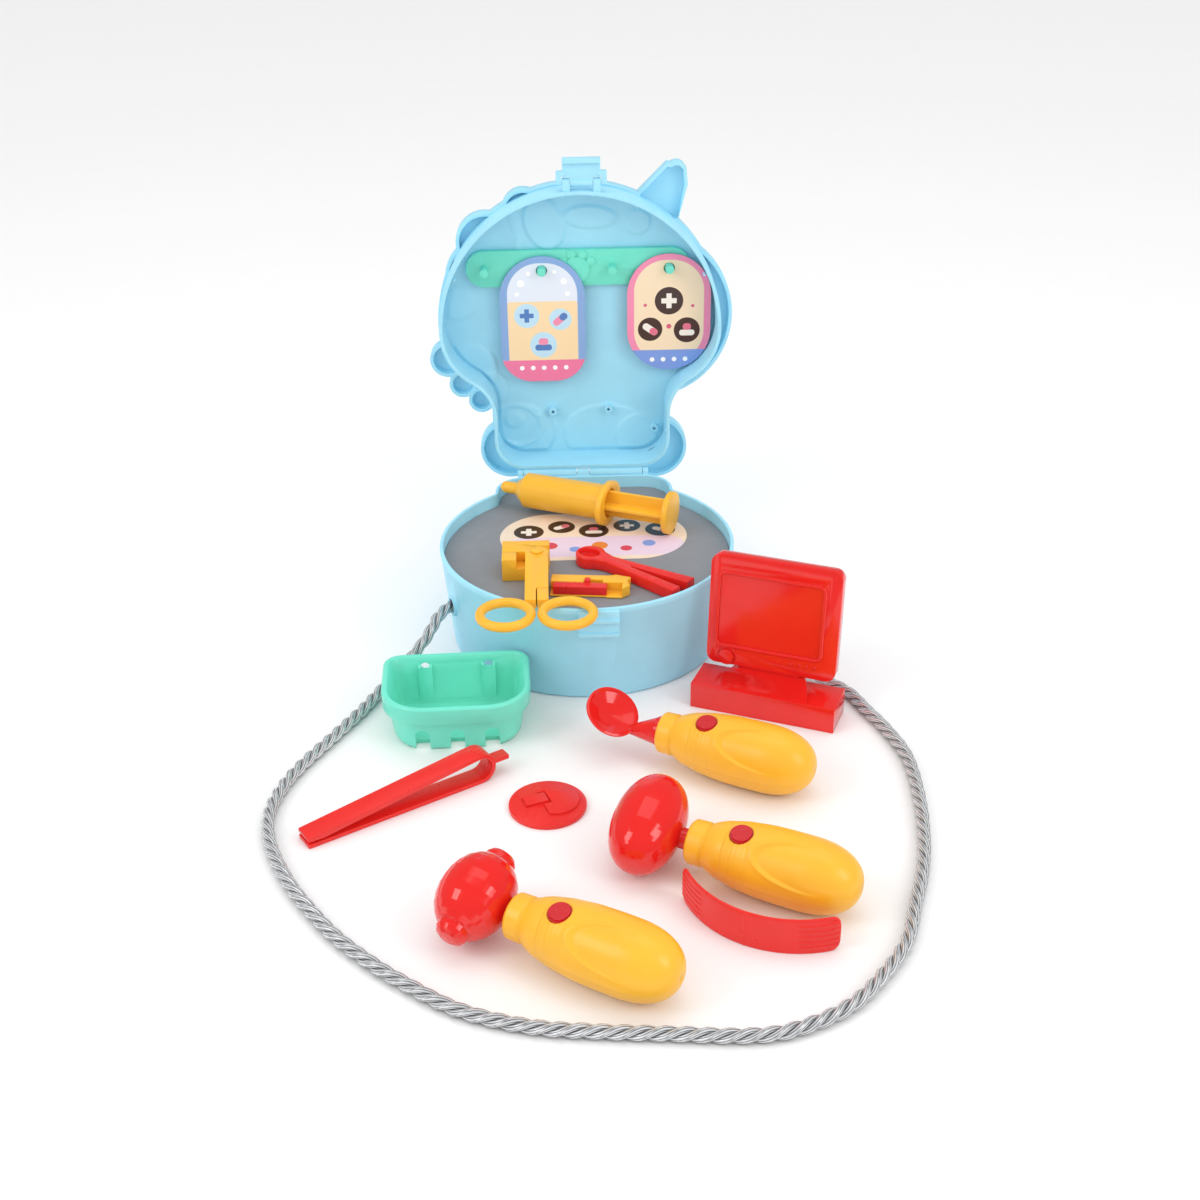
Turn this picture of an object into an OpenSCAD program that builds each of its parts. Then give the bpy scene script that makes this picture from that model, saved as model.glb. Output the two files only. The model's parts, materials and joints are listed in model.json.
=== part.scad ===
// Toy doctor case with its instruments laid out, millimetres.
// Origin: centre of the case's round front lobe, on the floor. +X right, +Y towards the hinge, +Z up.

/* [Case] */
// Radius of the round front lobe, outside, at the rim
case_r = 100; // [95:1:110]
// Height of the base, floor to rim
case_h = 70; // [64:1:84]
// Half width of the neck towards the hinge
neck_half = 64; // [60:1:70]
// Length of the neck, from the front lobe's hollow corner to the straight back wall
neck_len = 25.4; // [24:0.1:32]
// Wall of base and lid
wall = 2.4; // [2:0.1:3]
// How much smaller the outline is at the floor than at the rim
taper = 7; // [4:0.5:9]
// Depth of the lid, rim to outer face
lid_depth = 30; // [30:0.5:36]
// Angle between lid and base as stored open
lid_open = 90; // [88:1:100]

/* [Hinge and latch] */
// Radius of the hinge knuckles
knuckle_r = 3.5; // [3:0.1:3.8]
// Radius of the steel hinge pin
hinge_pin_r = 1.25; // [1:0.05:1.5]
// Radial clearance of every pin in its moving knuckle
pin_gap = 0.06; // [0.02:0.01:0.1]
// Length of the hinge over its outer knuckles
hinge_len = 96; // [84:1:100]
// Width of the latch strap and of its catch
latch_w = 26; // [22:1:30]
// Length of the latch from its pin to its tip
latch_len = 17; // [15:0.5:20]

/* [Tray] */
// Height of the tray's top above the floor
tray_top = 61; // [56:0.5:62]
// Thickness of the tray panel
tray_t = 2.5; // [2:0.1:3]
// Clearance between the tray's edge and the wall
tray_gap = 0.5; // [0.3:0.1:1]

/* [Hook rail and cards] */
// Height of the hook rail across its bar
rail_w = 26; // [20:0.5:28]
// Thickness of the hook rail
rail_t = 5; // [4:0.5:6]
// Spacing of the two pegs of a pair, and of the basket's holes
peg_pitch = 40.5; // [38:0.5:42]
// Radius of a peg
peg_r = 3; // [2.5:0.1:3.2]
// Length of a peg in front of the rail
peg_len = 10; // [8:0.5:11]
// Width of a picture card
card_w = 61; // [52:1:62]
// Height of a picture card
card_h = 93; // [80:1:96]
// Thickness of a picture card
card_t = 1.5; // [1:0.1:2]

/* [Rope] */
// Diameter of the carrying rope
rope_d = 8; // [7:0.5:8.5]

/* [Light-up handles] */
// Length of a handle
handle_l = 98; // [94:1:104]
// Largest radius of a handle
handle_r = 20.6; // [19:0.1:22]
// Wall of the handle shells
handle_wall = 2; // [1.6:0.1:2.4]
// Radius of the push button
button_r = 6.4; // [5.5:0.1:6.8]
// Travel of the push button
button_travel = 1.5; // [1:0.1:1.6]

/* [Instruments] */
// Outer radius of the syringe barrel
barrel_r = 12.5; // [11.5:0.1:13.2]
// Length of the syringe barrel
barrel_l = 60; // [50:1:64]
// Travel of the syringe plunger
plunger_travel = 38; // [30:1:40]
// Length of the monitor's base
monitor_w = 94.5; // [88:0.5:98]
// Height of the monitor's screen
screen_h = 75; // [62:1:78]
// Width of the basket
basket_w = 93; // [84:1:94]
// Height of the basket
basket_h = 34; // [30:1:40]
// Outer radius of a scissors ring
ring_r = 19; // [17:0.5:19.5]
// Thickness of a scissors ring
ring_t = 6.2; // [5.5:0.1:6.6]

/* [Hidden] */
$fn = 64;
eps = 0.01;
touch_gap = 0.3;

// Colours as the photograph shows them
blue = [0.60, 0.83, 0.94];
mint = [0.43, 0.88, 0.75];
yellow = [0.98, 0.77, 0.23];
red = [0.92, 0.23, 0.19];
grey = [0.64, 0.65, 0.67];
silver = [0.80, 0.80, 0.80];

// Outline of base and lid: a round lobe, shoulders, hollow fillets to the neck, and round back corners.
// The base stays round as far as the neck, and the lid has smaller shoulders and wide fillets.
base_form = [case_r, 6];
lid_form = [0.44 * case_r, 0.3 * case_r];
function fillet_y(form) = sqrt(pow(form[0] + form[1], 2) - pow(neck_half + form[1] - case_r + form[0], 2));
function shoulder_end(form) = atan2(fillet_y(form), neck_half + form[1] - case_r + form[0]);
corner_r = min(22, neck_len - 2);
case_back = fillet_y(base_form) + neck_len;

function arc(c, r, from, to, n) =
    [for (i = [0:n]) let (a = from + (to - from) * i / n) [c[0] + r * cos(a), c[1] + r * sin(a)]];
function mirrored(points) = [for (i = [len(points) - 1:-1:0]) [-points[i][0], points[i][1]]];
function half_outline(form, d) = let (end = shoulder_end(form)) concat(
    arc([0, 0], case_r - d, -90, 0, 24),
    arc([case_r - form[0], 0], form[0] - d, end / 8, end, 7),
    arc([neck_half + form[1], fillet_y(form)], form[1] + d, 180 + end, 180, 8),
    arc([neck_half - corner_r, case_back - corner_r], corner_r - d, 0, 90, 6));
// The outline moved inwards by d, as points that run anticlockwise
function outline(form, d) = let (half = half_outline(form, d))
    concat(half, [for (p = mirrored(half)) if (p[0] < -eps) p]);
function case_outline(d) = outline(base_form, d);
function lid_outline(d) = outline(lid_form, d);
// Place of a loose piece, kept as far from the front lobe when the case is made larger or smaller
function beside(p) = let (k = 1 + (case_r - 100) / norm([p[0], p[1]]))
    concat([k * p[0], k * p[1]], len(p) > 2 ? [p[2]] : []);

// A closed solid through rings of equal point counts, the first at the bottom
module ring_stack(rings) {
    n = len(rings[0]);
    last = len(rings) - 1;
    points = [for (ring = rings) for (p = ring) p];
    sides = [for (k = [0:last - 1]) for (i = [0:n - 1]) let (j = (i + 1) % n)
        [k * n + i, (k + 1) * n + i, (k + 1) * n + j, k * n + j]];
    polyhedron(points = points, convexity = 10, faces = concat(
        [[for (i = [0:n - 1]) i]],
        sides,
        [[for (i = [n - 1:-1:0]) last * n + i]]));
}
function level(points, z) = [for (p = points) [p[0], p[1], z]];

// Base
floor_t = 2.6;
band_h = 4.5;
ledge_w = 1.5;
ledge_z = tray_top - tray_t;
function base_inset(z) = taper * (1 - z / (case_h - band_h)) * 0.92 + 0.56;
hole_turn = 20;
hole_z = 39;
rope_hole_r = rope_d / 2 + 1;
catch_t = 2;
catch_z = 52;
catch_x = 5;
latch_x = 2.5;
hinge_y = case_back + 4;
hinge_z = case_h;
ear_len = 4;
centre_knuckle = 9;

module base_bowl() {
    ring_stack([
        level(case_outline(base_inset(0) + 2.4), 0),
        level(case_outline(base_inset(0) + 1.0), 0.7),
        level(case_outline(base_inset(2.6)), 2.6),
        level(case_outline(base_inset(case_h - band_h)), case_h - band_h),
        level(case_outline(0), case_h - band_h + 0.8),
        level(case_outline(0), case_h - 0.6),
        level(case_outline(0.6), case_h),
        level(case_outline(wall - 0.5), case_h),
        level(case_outline(wall), case_h - 0.5),
        level(case_outline(wall), ledge_z),
        level(case_outline(wall + ledge_w), ledge_z),
        level(case_outline(wall + ledge_w), ledge_z - 1),
        level(case_outline(base_inset(floor_t + 2) + wall), floor_t + 2),
        level(case_outline(base_inset(floor_t) + wall + 2), floor_t)]);
}
module hinge_barrel(from, to, r) {
    translate([from, hinge_y, hinge_z]) rotate([0, 90, 0]) cylinder(r = r, h = to - from);
}
module rope_eye(side, r, depth) {
    rotate([0, 0, side < 0 ? 180 + hole_turn : -hole_turn])
        translate([case_r - base_inset(hole_z) - depth, 0, hole_z])
            rotate([0, 90, 0]) cylinder(r = r, h = 2 * depth);
}
module case_base() {
    color(blue) difference() {
        union() {
            base_bowl();
            for (x = [-hinge_len / 2, -centre_knuckle / 2, hinge_len / 2 - ear_len]) {
                w = x == -centre_knuckle / 2 ? centre_knuckle : ear_len;
                hinge_barrel(x, x + w, knuckle_r);
                translate([x, case_back - 1.5, hinge_z - 8]) cube([w, 4.5, 8]);
            }
            translate([catch_x - latch_w / 2, -case_r - catch_t, catch_z])
                cube([latch_w, catch_t + 2.4, case_h - catch_z - 1]);
            for (z = [catch_z, catch_z + 9.6])
                translate([catch_x - latch_w / 2, -case_r - 4, z]) cube([latch_w, 6, 2.2]);
            intersection() {
                for (side = [-1, 1]) rope_eye(side, rope_hole_r + 2.2, 1.4);
                cylinder(r = case_r + 5, h = case_h);
            }
        }
        hinge_barrel(-hinge_len, hinge_len, hinge_pin_r);
        for (side = [-1, 1]) rope_eye(side, rope_hole_r, 8);
    }
}
module hinge_pin() {
    color(silver) hinge_barrel(-hinge_len / 2, hinge_len / 2, hinge_pin_r);
}

// Carrying rope: out of the left hole, down, round the front on the floor, and up into the right hole
knot_r = 8.5;
wall_at_hole = case_r - base_inset(hole_z) - wall;
knot_flat = sqrt(knot_r * knot_r - rope_d * rope_d / 4);
knot_x = wall_at_hole - knot_flat - touch_gap;
rope_start = knot_x + knot_flat;
rope_floor = rope_d / 2;
function at_hole(side, r) = [side * r * cos(hole_turn), -r * sin(hole_turn), hole_z];
rope_route = concat(
    [at_hole(-1, rope_start), at_hole(-1, rope_start + rope_d)],
    [for (p = [[-101, -46, 37], [-107, -56, 30], [-115, -64, 22], [-125, -70, 13], [-134, -79, 7],
        [-141, -90, 4.3],
     [-149, -108, 4.1], [-164, -138, 4.1], [-179, -167, 4.1], [-188, -191, 4.1], [-192, -218, 4.1],
     [-187, -247, 4.1], [-172, -282, 4.1], [-154, -311, 4.1], [-140, -330, 4.1], [-122, -349, 4.1],
     [-104, -365, 4.1], [-74, -387, 4.1], [-39, -400, 4.1], [-5, -405, 4.1], [29, -408, 4.1],
         [67, -411, 4.1],
     [92, -407, 4.1], [120, -392, 4.1], [142, -368, 4.1], [157, -345, 4.1], [167, -317, 4.1],
         [177, -287, 4.1],
     [184, -256, 4.1], [189, -217, 4.1], [190, -177, 4.1], [183, -146, 4.1], [175, -124, 4.1],
         [167, -102, 4.1],
     [155, -87, 4.3], [143, -77, 8], [132, -69, 14], [122, -61, 22], [113, -53, 30], [104, -43, 37]])
         beside(p)],
    [at_hole(1, rope_start + rope_d), at_hole(1, rope_start)]);
// Points of a smooth curve through the route, two to each of its steps but the straight end ones
function spline_point(a, b, c, d, t) = 0.5 * (2 * b + (c - a) * t
    + (2 * a - 5 * b + 4 * c - d) * t * t + (3 * b - a - 3 * c + d) * t * t * t);
function smooth_route(p) = let (n = len(p) - 1) concat([p[0]],
    [for (i = [1:n - 2]) for (k = [0, 1]) spline_point(p[i - 1], p[i], p[i + 1], p[i + 2], k / 2)],
    [p[n - 1], p[n]]);
function unit(v) = v / norm(v);
rope_sides = 10;
module rope_tube(path, d) {
    n = len(path) - 1;
    rings = [for (i = [0:n])
        let (along = unit(path[min(i + 1, n)] - path[max(i - 1, 0)]),
             across = unit(cross(along, [0, 0, 1])),
             up = cross(across, along))
        [for (k = [0:rope_sides - 1]) let (a = 360 * (k + 0.5) / rope_sides)
            path[i] + d / 2 * (across * cos(a) + up * sin(a))]];
    ring_stack(rings);
}
module carry_rope() {
    color(silver) rope_tube(smooth_route(rope_route), rope_d);
}
module rope_knot(side) {
    color(silver) rotate([0, 0, side < 0 ? 180 + hole_turn : -hole_turn]) translate([knot_x, 0, hole_z])
        rotate([0, 90, 0]) difference() {
            sphere(r = knot_r);
            translate([0, 0, knot_flat]) cylinder(r = knot_r, h = knot_r);
        }
}
module rope_knot_left() rope_knot(-1);
module rope_knot_right() rope_knot(1);

// Lid, drawn shut on the base and then turned open about the hinge
lid_plate = 2.5;
cavity = lid_depth - lid_plate;
flange_skirt = 10;
lug_y = case_r + 5;
lug_z = case_h + 5;
module opened() {
    translate([0, hinge_y, hinge_z]) rotate([-lid_open, 0, 0]) translate([0, -hinge_y, -hinge_z])
        children();
}
// Scalloped outline of the lid's outer face, with a plain horn, each lobe a circle of x, y and radius
lobes = [[-38, -82, 15], [-65, -60, 21], [-65, -33, 30], [-96, 26, 13], [-86, 45, 10], [-73, 57.5, 9.5],
    [-53, 97, 22.5], [54, 98, 24], [47, -4, 62.5]];
module lid_face(d) {
    polygon(lid_outline(-1.5 + d));
    for (lobe = lobes) translate([lobe[0], lobe[1]]) circle(r = lobe[2] - d);
    translate([68.5, -107]) circle(r = 6.8 - d);
    polygon([[41 + d, -92], [62, -113 + d], [75.5 - d, -109], [76.5 - d, -98], [70, -74], [45, -78]]);
}
boss_r = 3;
boss_hole_r = 1.2;
bosses = [[-21, 69], [20, 68], [54, 84]];
module case_lid() {
    color(blue) opened() difference() {
        union() {
            difference() {
                union() {
                    translate([0, 0, case_h]) linear_extrude(lid_depth - 1) polygon(lid_outline(0));
                    translate([0, 0, case_h + lid_depth - flange_skirt]) linear_extrude(flange_skirt)
                        lid_face(0);
                }
                translate([0, 0, case_h + lid_depth - flange_skirt - 1])
                    linear_extrude(flange_skirt + 1 - lid_plate)
                    difference() {
                        lid_face(wall);
                        polygon(lid_outline(-eps));
                    }
                translate([0, 0, case_h - 1]) linear_extrude(cavity + 1) polygon(lid_outline(wall));
            }
            for (b = bosses) translate([b[0], b[1], case_h + cavity - 6]) cylinder(r = boss_r, h = 7);
            for (side = [-1, 1]) {
                x = side < 0 ? -hinge_len / 2 + ear_len + 0.4 : centre_knuckle / 2 + 0.4;
                w = hinge_len / 2 - ear_len - centre_knuckle / 2 - 0.8;
                hinge_barrel(x, x + w, knuckle_r);
                translate([x, case_back - 1.5, case_h + 0.4]) cube([w, 4.5, 6]);
                lug_x = latch_x + (side < 0 ? -latch_w / 2 : latch_w / 2 - 5);
                translate([lug_x, -lug_y, case_h + 2]) cube([5, 8, 6]);
                translate([lug_x, -lug_y, lug_z]) rotate([0, 90, 0]) cylinder(r = 3, h = 5);
            }
        }
        for (b = bosses) translate([b[0], b[1], case_h + cavity - 7])
            cylinder(r = boss_hole_r, h = 6, $fn = 24);
        hinge_barrel(-hinge_len, hinge_len, hinge_pin_r + pin_gap);
        translate([-latch_w, -lug_y, lug_z]) rotate([0, 90, 0]) cylinder(r = hinge_pin_r, h = 2 * latch_w);
        for (x = stake_x) translate([x, rail_y, case_h + cavity - 1])
            cylinder(r = stake_r + 0.05, h = lid_plate + 2);
    }
}

// Hook rail with four pegs, staked through the lid's face
rail_y = -40;
rail_mid = -1.5;
pair_gap = 50;
rail_from = -67;
rail_to = 66;
rail_z = case_h + cavity - rail_t;
stake_r = 2;
stake_x = [-46, 45];
peg_x = [rail_mid - pair_gap / 2 - peg_pitch, rail_mid - pair_gap / 2,
    rail_mid + pair_gap / 2, rail_mid + pair_gap / 2 + peg_pitch];
module hook_rail() {
    color(mint) opened() {
        translate([rail_from, rail_y - rail_w / 2, rail_z]) cube([rail_to - rail_from, rail_w, rail_t]);
        for (x = [rail_from, rail_to]) translate([x, rail_y, rail_z]) cylinder(r = rail_w / 2, h = rail_t);
        for (x = peg_x) translate([x, rail_y, rail_z - peg_len]) cylinder(r = peg_r, h = peg_len + 1);
        for (x = stake_x) translate([x, rail_y, case_h + cavity - 1])
            cylinder(r = stake_r, h = lid_plate + 1);
        translate([rail_mid, rail_y + 1, rail_z - 1.5]) cylinder(r = 9, h = 2);
        for (a = [-60:40:60]) translate([rail_mid, rail_y + 1, rail_z - 1.2])
            rotate([0, 0, a]) translate([0, -11.5, 0]) cylinder(r = 3, h = 2);
    }
}

// Picture cards hanging on the second and the fourth peg
card_hole_r = 4;
card_top = 10.3;
card_corner = 22;
card_z = rail_z - 3.4;
// The right card is narrower and rounder at its foot, where the lid's wall curves in
right_card = [card_w - 1, card_h - 7, 29.5];
module card_blank(w, h, corner) {
    r = w / 2;
    translate([0, r - card_top]) circle(r = r);
    translate([-r, r - card_top]) square([w, h - r - corner]);
    for (side = [-1, 1]) translate([side * (r - corner), h - card_top - corner]) circle(r = corner);
    translate([-r + corner, h - card_top - corner]) square([w - 2 * corner, corner]);
}
module card(x, w, h, corner) {
    opened() translate([x, rail_y + card_hole_r - peg_r - touch_gap, card_z]) difference() {
        linear_extrude(card_t) card_blank(w, h, corner);
        translate([0, 0, -1]) cylinder(r = card_hole_r, h = card_t + 2);
    }
}
module card_left() color("lightsteelblue") card(peg_x[1], card_w, card_h, card_corner);
module card_right() color("pink") card(peg_x[3], right_card[0], right_card[1], right_card[2]);

// Latch on its own pin, standing up in the plane of the open lid
lug_gap = 0.3;
module latch_pin() {
    color(silver) opened() translate([latch_x - latch_w / 2, -lug_y, lug_z]) rotate([0, 90, 0])
        cylinder(r = hinge_pin_r, h = latch_w);
}
module latch() {
    inner = latch_w - 10 - 2 * lug_gap;
    strap_y = -lug_y - latch_len;
    color(blue) opened() translate([latch_x, 0, 0]) difference() {
        union() {
            translate([-inner / 2, -lug_y, lug_z]) rotate([0, 90, 0]) cylinder(r = 3, h = inner);
            translate([-inner / 2, -lug_y - 5, lug_z - 1.5]) cube([inner, 5, 3]);
            translate([-latch_w / 2, strap_y, lug_z - 1.5]) cube([latch_w, latch_len - 3.6, 3]);
            translate([-latch_w / 2, strap_y, lug_z - 5]) cube([latch_w, 3, 4]);
            for (side = [-1, 1]) {
                translate([side * (latch_w / 2 + 2.4) - 2, -lug_y - 7, lug_z - 2]) cube([4, 8, 4]);
                translate([side * (latch_w / 2 + 1) - 3, -lug_y - 8, lug_z - 2]) cube([6, 3, 4]);
            }
        }
        translate([-inner, -lug_y, lug_z]) rotate([0, 90, 0])
            cylinder(r = hinge_pin_r + pin_gap, h = 2 * inner);
    }
}

// Tray panel on the ledge inside the base, with its printed sticker
sticker_t = 0.2;
sticker_at = [5, 22];
sticker_r = 36;
sticker_len = 130;
module tray_panel() {
    color(grey) translate([0, 0, ledge_z]) linear_extrude(tray_t) polygon(case_outline(wall + tray_gap));
}
module tray_sticker() {
    color("moccasin") translate([sticker_at[0], sticker_at[1], tray_top]) {
        for (side = [-1, 1]) translate([side * (sticker_len / 2 - sticker_r), 0, 0])
            cylinder(r = sticker_r, h = sticker_t);
        translate([-sticker_len / 2 + sticker_r, -sticker_r, 0])
            cube([sticker_len - 2 * sticker_r, 2 * sticker_r, sticker_t]);
    }
}
on_tray = tray_top + sticker_t + 0.1;

// Basket: a D-shaped bin with a straight back, a lip band and three slots in front
basket_at = beside([-87, -86.5]);
basket_deep = 69;
basket_corner = 11;
basket_wall = 3;
slot_w = 9;
slot_h = 16;
slot_pitch = 21.5;
basket_hole_r = peg_r + 0.3;
function basket_outline(d) = let (w = basket_w / 2) concat(
    arc([w - 28, -basket_deep + 28], 28 - d, -90, 0, 8),
    arc([w - basket_corner, -basket_corner], basket_corner - d, 0, 90, 4),
    arc([-w + basket_corner, -basket_corner], basket_corner - d, 90, 180, 4),
    arc([-w + 28, -basket_deep + 28], 28 - d, 180, 270, 8));
module basket() {
    lip = basket_h - 12;
    color(mint) translate([basket_at[0], basket_at[1], 0]) rotate([0, 0, 2]) difference() {
        union() {
            ring_stack([
                level(basket_outline(10), 0),
                level(basket_outline(8.2), 0.8),
                level(basket_outline(6.8), 3),
                level(basket_outline(6), 6),
                level(basket_outline(3.8), lip),
                level(basket_outline(0.2), lip + 0.8),
                level(basket_outline(0), basket_h - 1),
                level(basket_outline(1), basket_h),
                level(basket_outline(basket_wall), basket_h),
                level(basket_outline(basket_wall + 1), basket_h - 1),
                level(basket_outline(3.8 + basket_wall), lip),
                level(basket_outline(6 + basket_wall), 6),
                level(basket_outline(basket_corner - 0.5), 2.6)]);
            for (side = [-1, 1]) translate([side * peg_pitch / 2 - 4.5, -9.4, 2])
                cube([9, 7, basket_h - 7.4]);
        }
        for (side = [-1, 1]) translate([side * peg_pitch / 2, 1, basket_h - 7.5]) rotate([90, 0, 0])
            cylinder(r = basket_hole_r, h = 10);
        for (k = [-1:1]) translate([k * slot_pitch, -basket_deep + 16, 0]) rotate([90, 0, 0]) {
            translate([0, slot_h - slot_w / 2, 0]) cylinder(r = slot_w / 2, h = 24);
            translate([-slot_w / 2, -1, 0]) cube([slot_w, slot_h - slot_w / 2 + 1, 24]);
        }
    }
}

// Syringe lying across the tray, its plunger drawn out
syringe_tip = [-59.4, 75.8];
syringe_turn = -23.5;
nozzle_l = 20;
flange_r = 15;
flange_t = 4;
barrel_wall = 2;
piston_gap = 0.2;
rod_out = 44.5;
module syringe_place() {
    translate([syringe_tip[0], syringe_tip[1], on_tray + flange_r]) rotate([0, 0, syringe_turn])
        rotate([0, 90, 0]) children();
}
module syringe_barrel() {
    color(yellow) syringe_place() difference() {
        union() {
            translate([0, 0, 4.2]) cylinder(r = 4.2, h = nozzle_l);
            translate([0, 0, 4.2]) sphere(r = 4.2);
            translate([0, 0, nozzle_l - 7]) cylinder(r1 = 5.4, r2 = barrel_r - 1, h = 7);
            translate([0, 0, nozzle_l]) cylinder(r = barrel_r, h = barrel_l);
            translate([0, 0, nozzle_l + barrel_l]) scale([1, 1.35, 1]) cylinder(r = flange_r, h = flange_t);
        }
        translate([0, 0, nozzle_l + 2]) cylinder(r = barrel_r - barrel_wall, h = barrel_l + flange_t);
    }
}
module syringe_plunger() {
    r = barrel_r - barrel_wall - piston_gap;
    out = nozzle_l + barrel_l + flange_t;
    head = out - 12;
    rib = 2.4;
    color(yellow) syringe_place() {
        translate([0, 0, head - 4]) cylinder(r = r, h = 4);
        intersection() {
            translate([0, 0, head - 1]) cylinder(r = r - 0.6, h = out + rod_out - head);
            union() {
                translate([-rib / 2, -r, head - 1]) cube([rib, 2 * r, out + rod_out - head]);
                translate([-r, -rib / 2, head - 1]) cube([2 * r, rib, out + rod_out - head]);
            }
        }
        translate([0, 0, out + rod_out - 2]) cylinder(r = flange_r, h = 4);
    }
}

// Toy dental pliers: two arms one above the other on a rivet, with finger rings that lie over the front rim
pivot = [-34, -30];
pivot_r = 8;
arm_w = 15;
ring_level = case_h + touch_gap;
lower_top = ring_level - 0.4;
ring_y = -110;
rivet_r = 2;
module finger_ring(x) {
    translate([x, ring_y, ring_level + ring_t / 2]) rotate_extrude() translate([ring_r - ring_t / 2, 0])
        circle(r = ring_t / 2, $fn = 32);
}
module scissors_blade_left() {
    tall = ring_level + ring_t - on_tray;
    color(yellow) difference() {
        union() {
            translate([pivot[0], pivot[1], ring_level]) cylinder(r = pivot_r, h = ring_t);
            translate([pivot[0] - arm_w / 2, -81, ring_level]) cube([arm_w, 81 + pivot[1], ring_t]);
            translate([pivot[0] - arm_w / 2, -97, ring_level]) cube([arm_w / 2 - 0.4, 17, ring_t]);
            translate([pivot[0] - 23, pivot[1] + 8.6, on_tray]) cube([31.5, 7.8, tall]);
            translate([pivot[0] - 23, pivot[1] + 0.4, on_tray]) cube([14.4, 12, tall]);
            translate([pivot[0] - 12, pivot[1] + 0.4, ring_level]) cube([12, 12, ring_t]);
            finger_ring(pivot[0] - ring_r - 0.4);
        }
        translate([pivot[0], pivot[1], ring_level - 1]) cylinder(r = rivet_r + pin_gap, h = ring_t + 2);
    }
}
module scissors_blade_right() {
    color(yellow) difference() {
        union() {
            translate([pivot[0], pivot[1], on_tray]) cylinder(r = pivot_r, h = lower_top - on_tray);
            translate([pivot[0] - arm_w / 2, -83.4, on_tray])
                cube([arm_w, 83.4 + pivot[1], lower_top - on_tray]);
            translate([pivot[0] - 23, pivot[1] - 12, on_tray]) cube([17, 12, lower_top - on_tray]);
            translate([pivot[0] - 23, pivot[1] - 12, on_tray])
                cube([9.5, 12, ring_level + ring_t - on_tray]);
            translate([pivot[0] + 0.4, -97, ring_level]) cube([arm_w / 2 - 0.4, 15.2, ring_t]);
            translate([pivot[0] + 0.4, -83.4, on_tray])
                cube([arm_w / 2 - 0.4, 1.6, ring_level + ring_t - on_tray]);
            finger_ring(pivot[0] + ring_r + 0.4);
        }
        translate([pivot[0], pivot[1], on_tray - 1]) cylinder(r = rivet_r, h = 20);
    }
}
module scissors_rivet() {
    color(yellow) translate([pivot[0], pivot[1], 0]) {
        translate([0, 0, on_tray]) cylinder(r = rivet_r, h = ring_level + ring_t - on_tray);
        translate([0, 0, ring_level + ring_t]) cylinder(r = 4, h = 1.2);
    }
}

// Thermometer with a red sliding strip
thermo_at = [-25, -56.5];
thermo_turn = -6;
thermo_l = 38;
thermo_w = 17;
thermo_t = 7.5;
strip_w = 7;
strip_travel = 8;
module thermo_place() translate([thermo_at[0], thermo_at[1], on_tray]) rotate([0, 0, thermo_turn])
    children();
module thermometer_body() {
    color(yellow) thermo_place() difference() {
        union() {
            translate([0, -thermo_w / 2, 0]) cube([thermo_l, thermo_w, thermo_t]);
            translate([thermo_l - 1, 0, 0]) linear_extrude(thermo_t)
                polygon([[0, -9.5], [10, -9.5], [15, -4], [13, 2], [15, 7], [5, 10], [0, 8.5]]);
        }
        translate([-1, -thermo_w / 2 - 1, 1.2])
            cube([thermo_l + strip_travel + 2, strip_w + 1.4, thermo_t]);
        translate([22, -2, -1]) cube([12, 4.4, thermo_t + 2]);
    }
}
module thermometer_slider() {
    color(red) thermo_place() {
        translate([2, -thermo_w / 2 + 0.3, 1.2 + 0.1]) cube([thermo_l - 3, strip_w - 0.3, thermo_t - 1.6]);
        translate([22.3, -3, 1.3]) cube([3.6, 5, thermo_t + 0.4]);
    }
}

// Red one-piece forceps with a hollowed head and a slit between its legs
forceps_at = [2, -19];
forceps_turn = -39.3;
forceps_l = 79;
forceps_t = 8;
module forceps() {
    color(red) translate([forceps_at[0], forceps_at[1], on_tray]) rotate([0, 0, forceps_turn]) difference()
        {
        union() {
            cylinder(r = 10, h = forceps_t);
            linear_extrude(forceps_t)
                polygon([[6, -7], [16, -4.5], [36, -7], [forceps_l - 3, -12], [forceps_l - 2, 11.5],
                    [36, 6.5],
                    [16, 4.5], [6, 7]]);
        }
        translate([34, 0, -1]) linear_extrude(forceps_t + 2)
            polygon([[0, -0.6], [forceps_l - 30, -4.6], [forceps_l - 30, 4.2], [0, 0.6]]);
        translate([-1, 0, 3.5]) scale([1.3, 1, 1]) cylinder(r = 6, h = forceps_t);
    }
}

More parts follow.
